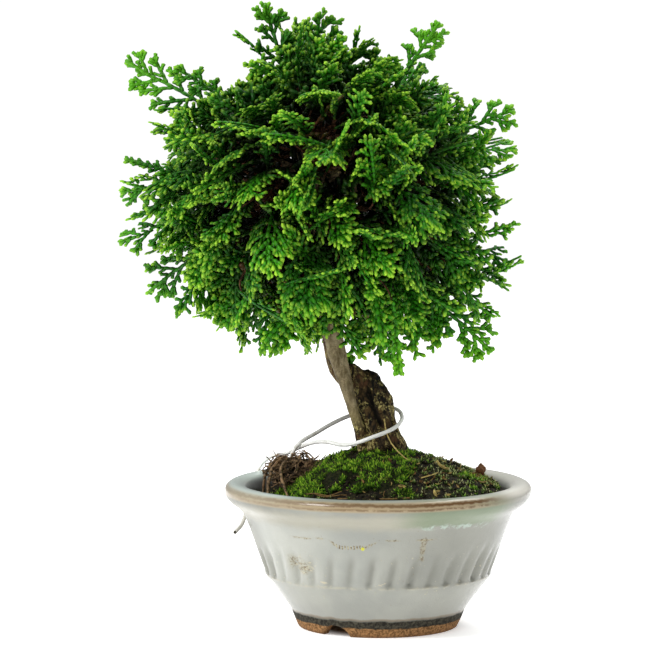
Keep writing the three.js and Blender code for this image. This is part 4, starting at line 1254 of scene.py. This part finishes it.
# Sprays that stand out on the side of the crown that faces front: foot, tip, half width, roll.
FRONT_SPRAYS = [
    ((-3, -60, 210), (-4, -79, 241), 6.5, 35), ((-3, -60, 212), (13, -79, 227), 6, 60),
    ((-37, -60, 195), (-16, -79, 211), 6, 70), ((-28, -64, 199), (-35, -79, 218), 6, 40),
    ((-19, -66, 202), (11, -78, 193), 5.5, 80), ((-45, -60, 172), (-18, -77, 178), 5, 85),
    ((-23, -64, 236), (-52, -74, 246), 5.5, 75), ((-6, -58, 251), (11, -74, 236), 5, 80),
    ((-66, -50, 207), (-84, -62, 195), 5, 60), ((6, -52, 164), (8, -50, 128), 4, 25),
    ((-67, -45, 168), (-44, -60, 153), 5, 75), ((25, -45, 192), (43, -50, 182), 5.5, 70),
    ((-55, 0, 276), (-69, -4, 291), 4, 65), ((-66, 4, 250), (-67, 0, 266), 5, 20),
    ((-95, -8, 219), (-122, -14, 231), 4.5, 45), ((45, 4, 168), (71, 0, 178), 4.5, 60),
    ((42, -6, 190), (65, -12, 196), 5.5, 30), ((38, -6, 180), (61, -8, 168), 5, 35),
    ((-42, -26, 160), (-46, -30, 139), 6, 15), ((-53, -22, 158), (-57, -24, 136), 5.5, 35),
    ((18, -20, 160), (16, -22, 137), 6, 20), ((30, -10, 160), (27, -12, 138), 6, 35),
    ((-80, -8, 178), (-99, -10, 156), 5.5, 40), ((-97, -4, 205), (-120, -6, 202), 4.5, 55),
    ((-84, 0, 240), (-108, -4, 244), 4.5, 50), ((-84, 2, 250), (-106, -2, 254), 4.5, 60),
    ((-15, 0, 270), (-9, -2, 291), 4, 60), ((-6, 2, 264), (0, 0, 282), 4, 45),
    ((-62, 50, 220), (-34, 56, 240), 9, 10), ((-53, 48, 210), (-41, 54, 246), 9, 15),
    ((-58, 30, 240), (-34, 34, 222), 9, 20), ((-48, 20, 246), (-44, 24, 214), 9, 5),
    ((20, -14, 170), (44, -16, 147), 6.5, 60), ((28, -12, 174), (55, -14, 152), 6, 50),
    ((40, -6, 216), (66, -8, 224), 4.5, 55), ((36, -10, 178), (60, -12, 166), 5.5, 75),
]


def scale_string(count):
    """A string of swollen scales that stands up from 0 to count, one unit wide each side."""
    rows = [(0, 0, 0, 0.62, 0.62)]
    for k in range(count - 1):
        rows += [(0, 0, k + 0.55, 1, 1), (0, 0, k + 1, 0.78, 0.78)]
    rows += [(0, 0, count - 0.2, 0.96, 0.96), (0, 0, count, 0.0005, 0.0005)]
    return pattern_of(pulled("scales", rows, 4))


FINGERS = {count: scale_string(count) for count in range(1, MOST_SCALES + 1)}


def feather(foot, tip, half, draw, bare=BARE_STALK, coarse=1, airy=1):
    """The fingers of one feathery shoot on the flat: place, heading, length, scales, freshness."""
    foot, tip = np.array(foot, float), np.array(tip, float)
    length = np.linalg.norm(tip - foot)
    heading = math.atan2(tip[1] - foot[1], tip[0] - foot[0])
    scales = max(FEWEST_SCALES, min(MOST_SCALES, round(length / SCALE_LONG)))
    fingers = [(*foot, heading, length, scales, 0.75)]
    count = int(length * (1 - bare) / (LATERAL_GAP * coarse * airy))
    for k in range(count):
        side = 1 if k % 2 else -1
        share = bare + (0.96 - bare) * (k + 0.4 + 0.3 * draw.random()) / (count + 0.4)
        bulge = math.sin(math.pi * (0.2 + 0.68 * share)) ** 0.6
        reach = min(half * bulge * (0.9 + 0.5 * draw.random()), (1 - share) * length * 1.1 + 4)
        turn = heading + side * math.radians(FINGER_ANGLE - 14 * share + 6 * draw.normal())
        start = foot + (tip - foot) * share
        fingers.append((*start, turn, reach, 2 if reach > 4.4 else 1, 0.9))
        if coarse > 1 or share < 0.3:
            continue
        for j in range(sum(reach > least * airy for least in LOBED_FROM)):
            inner = side if j % 2 else -side
            way = np.array((math.cos(turn), math.sin(turn)))
            lobe = start + way * reach * (0.4 + 0.26 * j + 0.08 * draw.random())
            spread = turn + inner * math.radians(LOBE_ANGLE + 6 * draw.normal())
            fingers.append((*lobe, spread, LOBE_LONG + LOBE_MORE * draw.random(), 1, 1))
    for inner in (-1, 1):
        start = tip - (tip - foot) * min(1, TIP_BACK / length)
        fingers.append((*start, heading + inner * math.radians(TIP_ANGLE), TIP_FINGER, 1, 1))
    return fingers


def main_fingers(spray, draw):
    """A main spray: a rib with side shoots left and right in turn, each one a narrow feather."""
    hollow = CROWN_HOLLOW * spray["reach"]
    length = spray["reach"] - hollow - 1.5

    def room(u):
        round_off = max(0, u / length - 0.6) / 0.42
        return math.tan(spray["spread"] * 0.95) * (hollow + u) * math.sqrt(max(0, 1 - round_off ** 2))

    fingers = [(0, 0, 0, length * 0.7, 10, 0.5)]
    count = int(length * 0.8 / (SHOOT_GAP * spray["open"]))
    for k in range(count):
        side = 1 if k % 2 else -1
        start = length * (0.04 + 0.8 * (k + 0.4 * draw.random()) / count)
        angle = math.radians(44 - 10 * start / length + 4 * draw.normal())
        reach, share = 4, 0.72 + 0.5 * draw.random()
        while reach < SHOOT_LONG and (
                reach * math.sin(angle) < share * room(start + (reach + 1) * math.cos(angle))):
            reach += 1
        tip = (start + reach * math.cos(angle), side * reach * math.sin(angle))
        fingers += feather((start, 0), tip, SHOOT_HALF, draw, 0.2, airy=spray["open"])
    end_shoot = feather((length * 0.66, 0), (length, 0), SHOOT_HALF, draw, 0.05, airy=spray["open"])
    return fingers + end_shoot


def grow(place, fingers, length, draw, hue, coarse=1):
    """All fingers of one spray, laid out flat and then set in space by place(along, across, lift)."""
    points, faces, layers = [], [], []
    start = 0
    for u, v, heading, reach, count, fresh in fingers:
        pattern, pattern_faces = FINGERS[count]
        s = pattern[:, 2] / count * reach
        c = pattern[:, 0] * SCALE_WIDE / 2 * coarse
        along = u + s * math.cos(heading) - c * math.sin(heading)
        across = v + s * math.sin(heading) + c * math.cos(heading)
        lift = pattern[:, 1] * SCALE_WIDE / 2 * SCALE_FLAT * coarse
        lift = lift + 0.12 * draw.normal() * np.minimum(s, 8)
        points.append(place(along, across, lift))
        faces += [tuple(i + start for i in face) for face in pattern_faces]
        tone = DEAD if hue == DEAD else np.clip(hue + 0.09 * draw.normal(), 0, 1)
        last = np.clip(pattern[:, 2] - (count - 0.85), 0, 0.85) / 0.85
        tip = last * fresh * (0.4 + 0.6 * np.clip(along / length, 0, 1)) * (0.55 + 0.45 * draw.random())
        layers.append(np.c_[tip, np.full(len(s), tone), pattern[:, 2], -pattern[:, 1]])
        start += len(pattern)
    return np.vstack(points), faces, np.vstack(layers)


def main_place(spray):
    """Sets a main spray in its own cone of the crown."""
    def place(along, across, lift):
        hollow = CROWN_HOLLOW * spray["reach"]
        r = hollow + along
        share = np.clip(along / (spray["reach"] - hollow), 0, 1.1) ** (1 / 0.85)
        off = np.arctan(across / r) / spray["spread"]
        lean = spray["tilt"] * (1 - 2 * share) - 0.25 * off * off
        way = spray["out"] + spray["side"] * (across / r)[:, None]
        way = way + spray["face"] * np.tan(lean * spray["spread"])[:, None]
        return bent(CROWN_MIDDLE + unit(way) * r[:, None]) + spray["face"] * lift[:, None]
    return place


def filler_place(base, along_way, side_way, face_way, arch, cup, droop):
    """Sets a filling spray on its own base, arched over its face and a little by its weight."""
    def place(along, across, lift):
        height = lift - arch * along * along / 2 - cup * across * across / 2
        points = base + np.outer(along, along_way) + np.outer(across, side_way)
        points += np.outer(height, face_way)
        points[:, 2] -= droop * along * along / 2
        return points
    return place


def leaf_finish():
    finish = Finish("scale_leaves", Specular_IOR_Level=0.2)
    tip, hue, scale, under, depth = (finish.attribute(layer) for layer in LEAF_LAYERS)
    wave = (scale * (2 * math.pi)).cosine() * 0.5 + 0.5
    body = finish.mix(hue.rise(0.1, 0.75), LEAF_BLUE, LEAF_GREEN)
    body = body.dyed(finish.grain(1.1, 3).rise(0.4, 0.7) * 0.35, LEAF_DARK_AND_SHADE)
    # Painted shade between the scales and at each finger's foot.
    body = body.dyed(wave.rise(0.55, 1) * 0.55, LEAF_DARK_AND_SHADE)
    body = body.dyed(under.rise(0.1, 0.8) * 0.3, UNDER_PALE)
    fresh = tip * (hue * 0.5 + 0.7)
    body = body.dyed(fresh.rise(0.2, 0.85), TIP_YELLOW)
    # Painted light on the outermost sprays, and painted shade deeper in the crown, where the foliage is
    # also older.
    body = body.dyed(depth.rise(0.96, 1.14) * 0.5, LEAF_LIT)
    body = finish.mix(depth.rise(0.56, 0.97), LEAF_DARK_AND_SHADE, body)
    withered = finish.grain(1.5, 3).rise(0.35, 0.6) * 0.4 + depth.rise(0.4, 1) * 0.3
    dead = (1 - hue.rise(-0.6, -0.3)) * withered
    finish.colour(body.dyed(dead, LEAF_DEAD))
    finish.roughness(hue * 0.1 + 0.42)
    finish.relief(1 - wave, 0.25)
    return finish.material


def twig_finish():
    finish = Finish("twigs", Specular_IOR_Level=0.3)
    finish.colour(finish.mix(finish.grain(2, 3).rise(0.35, 0.65), TWIG_DARK, TWIG_BROWN))
    finish.roughness(finish.grain(1, 2) * 0.2 + 0.7)
    return finish.material


def rolled(side, face, roll):
    """The two ways across a spray, turned about its length."""
    c, s = math.cos(roll), math.sin(roll)
    return side * c + face * s, face * c - side * s


def add_filler(way, **filler):
    """Gives a filling spray to the branch that heads most nearly its way."""
    owner = np.argmax([branch["head"] @ way for branch in branches])
    branches[owner]["fillers"].append(filler)


def lay_fillers(count, seed, lowest, highest, coarse):
    """Small sprays between the main ones, rooted between two shares of the crown's radius and most
    of them with an edge outwards."""
    draw = np.random.default_rng(seed)
    for way in spread_directions(count + 1, np.array([down_the_trunk]))[1:]:
        radius = crown_radius(way)[0] * dent(way)
        rooted = lowest + (highest - lowest) * draw.random()
        base = bent(CROWN_MIDDLE + way * radius * rooted)
        drift = draw.normal(size=3) + np.array((0, 0, 0.35))
        drift = unit(drift - way * (drift @ way))
        open_angle = math.radians(12 + 48 * draw.random())
        along_way = way * math.cos(open_angle) + drift * math.sin(open_angle)
        side = unit(way - along_way * (way @ along_way))
        side, face = rolled(side, np.cross(along_way, side), math.radians(32) * draw.normal())
        lump = 1 + 0.1 * ripple(way[None], 0.4, 2, 61)[0]
        goal = (rooted + 0.28 - 0.08 * (coarse > 1) + 0.1 * draw.random()) * radius * lump
        far = (base - CROWN_MIDDLE) @ along_way
        length = -far + math.sqrt(max(0, far * far + goal ** 2 - radius ** 2 * rooted ** 2))
        length = min(max(length, FILLER_SHORT), FILLER_LONG)
        while length > FILLER_STUB and sticks_out(base + along_way * length):
            length -= 1.5
        half = (4.8 + 2.4 * draw.random()) * coarse
        place = filler_place(base, along_way, side, face, 0.012 * draw.normal(), 0.012, 0.003)
        add_filler(way, base=base, along=along_way, length=length, coarse=coarse, half=half, place=place)


def lay_front_sprays():
    """The sprays that stand out on the front, each on the nearest branch."""
    for foot, tip, half, roll in FRONT_SPRAYS:
        base = np.array(foot, float)
        along_way = unit(np.array(tip) - base)
        side = unit(np.cross(along_way, (0, 1, 0)))
        side, face = rolled(side, np.cross(along_way, side), math.radians(roll))
        place = filler_place(base, along_way, side, face, 0.006, 0.012, 0.002)
        add_filler(unit(base - CROWN_MIDDLE), base=base, along=along_way, half=half, place=place,
                   length=math.dist(foot, tip), coarse=1)


def twig(start, middle, end, thick):
    knots = arc(start, middle, end, (0, 0.35, 0.7, 1))
    return knots, [thick, thick * 0.85, thick * 0.65, thick * 0.45]


def leafy(name, points, faces, values, depth):
    """A mesh of scale leaves, with the values that their finish reads."""
    item = build_mesh(name, points, faces, dict(zip(LEAF_LAYERS, (*values.T, depth))))
    item.data.materials.append(leaf_material)
    return item


lay_fillers(FILLERS, seed=31, lowest=0.52, highest=0.66, coarse=1)
lay_fillers(OLD_FILLERS, seed=32, lowest=0.34, highest=0.52, coarse=1.5)
lay_front_sprays()
leaf_material, twig_material = leaf_finish(), twig_finish()
for k, branch in enumerate(branches):
    draw = np.random.default_rng(100 + k)
    heart = branch["root"] + 2 * branch["outward"]
    fans, lines = [], []
    for spray in branch["sprays"]:
        place = main_place(spray)
        length = spray["reach"] * (1 - CROWN_HOLLOW)
        fans.append(grow(place, main_fingers(spray, draw), length, draw, 0.3 + 0.5 * draw.random()))
        base = place(*np.array([[2.0], [0.0], [0.0]]))[0]
        lines.append(twig(heart, (heart + base) / 2, base, 1.1))
    for filler in branch["fillers"]:
        length, coarse = filler["length"], filler["coarse"]
        fingers = feather((0, 0), (length, 0), filler["half"], draw, coarse=coarse)
        young = 0.2 + 0.6 * draw.random()
        if coarse > 1:
            young = DEAD if young < 0.26 else 0
        fans.append(grow(filler["place"], fingers, length, draw, young, coarse))
        base = filler["base"] + filler["along"] * 2
        lines.append(twig(heart, filler["base"] - filler["along"] * 8, base, 0.9))
    starts = np.cumsum([0] + [len(points) for points, _, _ in fans])
    points = np.vstack([points for points, _, _ in fans])
    faces = [tuple(i + start for i in face) for (_, fan, _), start in zip(fans, starts) for face in fan]
    values = np.vstack([layer for _, _, layer in fans])
    away = points - CROWN_MIDDLE
    far = np.linalg.norm(away, axis=1)
    leaves = leafy("leaves", points, faces, values, far / crown_radius(away / far[:, None]))
    twigs = strands("branch_twigs", lines, 0)
    cover(twigs, twig_material)
    spray_branch = joined(f"leafy_sprays_{k + 1:02d}", [leaves, twigs])
    smooth(spray_branch)
    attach(spray_branch, "root")
    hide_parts(f"leafy_branch_{k + 1:02d}")


# A small young shoot in the saddle between the live stem and the broken top.
SADDLE, SADDLE_SHOOT, SADDLE_HALF = np.array((-12.6, 1.4, 123.5)), 9, 3.6
draw = np.random.default_rng(77)
sprout_up, sprout_side = unit(np.array((-0.12, 0.1, 1))), np.array((1.0, 0, 0))
place = filler_place(SADDLE, sprout_up, sprout_side, np.cross(sprout_up, sprout_side), 0.01, 0.02, 0)
fingers = feather((0, 0), (SADDLE_SHOOT, 0), SADDLE_HALF, draw, 0.3)
points, faces, values = grow(place, fingers, SADDLE_SHOOT, draw, 0.6)
sprout = leafy("saddle_shoot", points, faces, values, 1)
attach(sprout, "root")


# ---- dry litter ----
# What has fallen on the mound: a crumb of bark, two stalks of straw, curled dead leaves and a few
# bare rootlets along the front rim. It lies loose on the earth.

STALKS = [
    ([(2.7, -10.5, 102.6), (4.2, -13.6, 95), (8.6, -20, 88.5), (15.6, -28, 83.4)], 0.34),
    ([(16.4, -25, 84.3), (14.2, -28.6, 82.7), (11, -32.5, 81.3)], 0.3),
    ([(20, -40, 77.7), (25, -39, 79), (28, -36, 79.7)], 0.3),
]
ROOTLETS = [
    ([(-35, -47, 70.8), (-30, -50.5, 71.6), (-24, -52, 70.6), (-19, -51, 72.4), (-13, -50, 73.4)], 0.3),
    ([(-31, -49.5, 71.2), (-26, -52.4, 70.2), (-18, -54, 71.4), (-10, -54, 70.6)], 0.24),
    ([(-20, -56, 69.8), (-8, -58, 70.2), (4, -58.4, 70), (14, -57, 70.4)], 0.36),
]
BARK_CRUMB, CRUMB_SIZE = (50, 2, 76.1), (2.4, 2.2, 2.8)
DRY_LEAVES, DRY_LEAF_LONG, DRY_LEAF_WIDE, DRY_LEAF_THICK = 180, 3.2, 1.1, 0.2
LITTER_FROM, LITTER_TO = 14, 57
BIG_LEAF_AT, BIG_LEAF = (30, -22), 2.2
STRAW, DEAD_LEAF, CRUMB_BROWN = (198, 176, 104), (128, 96, 52), (122, 80, 46)


def litter_finish():
    finish = Finish("dry_litter", Specular_IOR_Level=0.3)
    fibre = finish.grain(1.2, 4, 0.65)
    pale = finish.attribute("pale")
    colour = finish.mix(pale.rise(0, 0.5), CRUMB_BROWN, DEAD_LEAF)
    colour = colour.dyed(pale.rise(0.5, 1), STRAW)
    finish.colour(colour.dyed(fibre.rise(0.45, 0.7) * 0.6, ROOT_DARK))
    finish.roughness(fibre * 0.2 + 0.6)
    finish.relief(fibre, 0.3)
    return finish.material


stalk_lines = [(line, [thick] * (len(line) - 1) + [thick * 0.6]) for line, thick in STALKS]
stalks = strands("stalks", stalk_lines)
mark(stalks, "pale", 1)
rootlets = strands("rootlets", [(line, [thick] * len(line)) for line, thick in ROOTLETS])
mark(rootlets, "pale", 0.6)

bark_crumb = ball(3)
points = places(bark_crumb)
put(bark_crumb, points * (1 + 0.35 * ripple(points, 0.9, 3, 71))[:, None] * CRUMB_SIZE + BARK_CRUMB)
mark(bark_crumb, "pale", 0)

# One dry leaf, curled along its length, copied over the bare earth.
deselect()
bpy.ops.mesh.primitive_grid_add(x_subdivisions=4, y_subdivisions=2, size=2 * MM, location=POT_AXIS)
bpy.ops.object.transform_apply(location=True)
dry_leaf = bpy.context.object
points = places(dry_leaf)
narrow = 1 - 0.75 * points[:, 0] ** 2
curl = 0.5 * points[:, 0] ** 2 + 0.3 * points[:, 1] ** 2
points = np.c_[points[:, 0] * DRY_LEAF_LONG / 2, points[:, 1] * narrow * DRY_LEAF_WIDE / 2, curl]
put(dry_leaf, points)
finish_with(dry_leaf, "SOLIDIFY", thickness=DRY_LEAF_THICK * MM, offset=0)
leaf_points, leaf_faces = pattern_of(dry_leaf)
rng = np.random.default_rng(23)
turn = rng.random(DRY_LEAVES) * 2 * math.pi
reach = LITTER_FROM + (LITTER_TO - LITTER_FROM) * np.sqrt(rng.random(DRY_LEAVES))
x, y = reach * np.cos(turn), reach * np.sin(turn)
x = np.where((y < 0) & (x < -10), -x, x)
turns = turn_about(unit(rng.normal(size=(DRY_LEAVES, 3))), 6 * rng.random(DRY_LEAVES))
sizes = 0.5 + 0.8 * rng.random(DRY_LEAVES) ** 2
sizes[0] = BIG_LEAF
x[0], y[0] = BIG_LEAF_AT
spots = np.c_[x, y, mound_height(x, y) + 0.9 + 1.2 * (sizes > 2)]
dry_leaves = build_mesh("dry_leaves", *scattered(leaf_points, leaf_faces, spots, turns, sizes), {})
shades = 0.3 + 0.7 * rng.random(DRY_LEAVES)
shades[0] = 1
mark(dry_leaves, "pale", np.repeat(shades, len(leaf_points)))
litter = joined("dry_litter", [stalks, rootlets, bark_crumb, dry_leaves])
smooth(litter, 50)
cover(litter, litter_finish())
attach(litter, "root")


# ---- floor and light ----
# A plain white floor in a white surround, one soft light high up on the left in front, and a
# weaker, wider one high up on the right, behind the tree.

FLOOR_RADIUS, FLOOR_GLOW = 2.2, 0.6
FLOOR_PLAIN, FLOOR_BRIGHT = (248, 248, 248), (252, 252, 252)
GLOW_NONE, GLOW_FULL = (0, 0, 0), (255, 255, 255)
SURROUND_SEEN, SURROUND_LIGHT = 1.05, 0.3
LIGHTS_AIM = Vector((0, 0, 0.15))
# Place, size and watts of each light.
LIGHTS = [((-1.4, -0.95, 1.6), 0.7, 37), ((0.5, 0.7, 1.7), 1, 24)]


def floor_finish():
    finish = Finish("white_floor", Emission_Strength=FLOOR_GLOW)
    x, y, z = finish.axes()
    clear = ((x * x + y * y) ** 0.5).rise(26, 45)
    finish.feed(finish.shader.inputs["Emission Color"], finish.mix(clear, GLOW_NONE, GLOW_FULL))
    finish.colour(finish.mix(finish.grain(90, 2), FLOOR_PLAIN, FLOOR_BRIGHT))
    finish.roughness(finish.grain(60, 2) * 0.1 + 0.8)
    return finish.material


deselect()
bpy.ops.mesh.primitive_circle_add(vertices=64, radius=FLOOR_RADIUS, fill_type="NGON")
floor = bpy.context.object
floor.name = "floor"
floor.data.materials.append(floor_finish())

world = bpy.data.worlds.new("surround")
bpy.context.scene.world = world
world.use_nodes = True
shades = world.node_tree.nodes
seen = shades.new("ShaderNodeLightPath").outputs["Is Camera Ray"]
strength = shades.new("ShaderNodeMapRange")
strength.inputs["To Min"].default_value = SURROUND_LIGHT
strength.inputs["To Max"].default_value = SURROUND_SEEN
world.node_tree.links.new(seen, strength.inputs["Value"])
world.node_tree.links.new(strength.outputs[0], shades["Background"].inputs["Strength"])
shades["Background"].inputs["Color"].default_value = (1, 1, 1, 1)
for i, (place, size, watts) in enumerate(LIGHTS):
    light = bpy.data.lights.new(f"light_{i}", "AREA")
    light.size = size
    light.energy = watts
    lamp = bpy.data.objects.new(f"light_{i}", light)
    lamp.location = place
    lamp.rotation_euler = (LIGHTS_AIM - lamp.location).to_track_quat("-Z", "Y").to_euler()
    bpy.context.collection.objects.link(lamp)
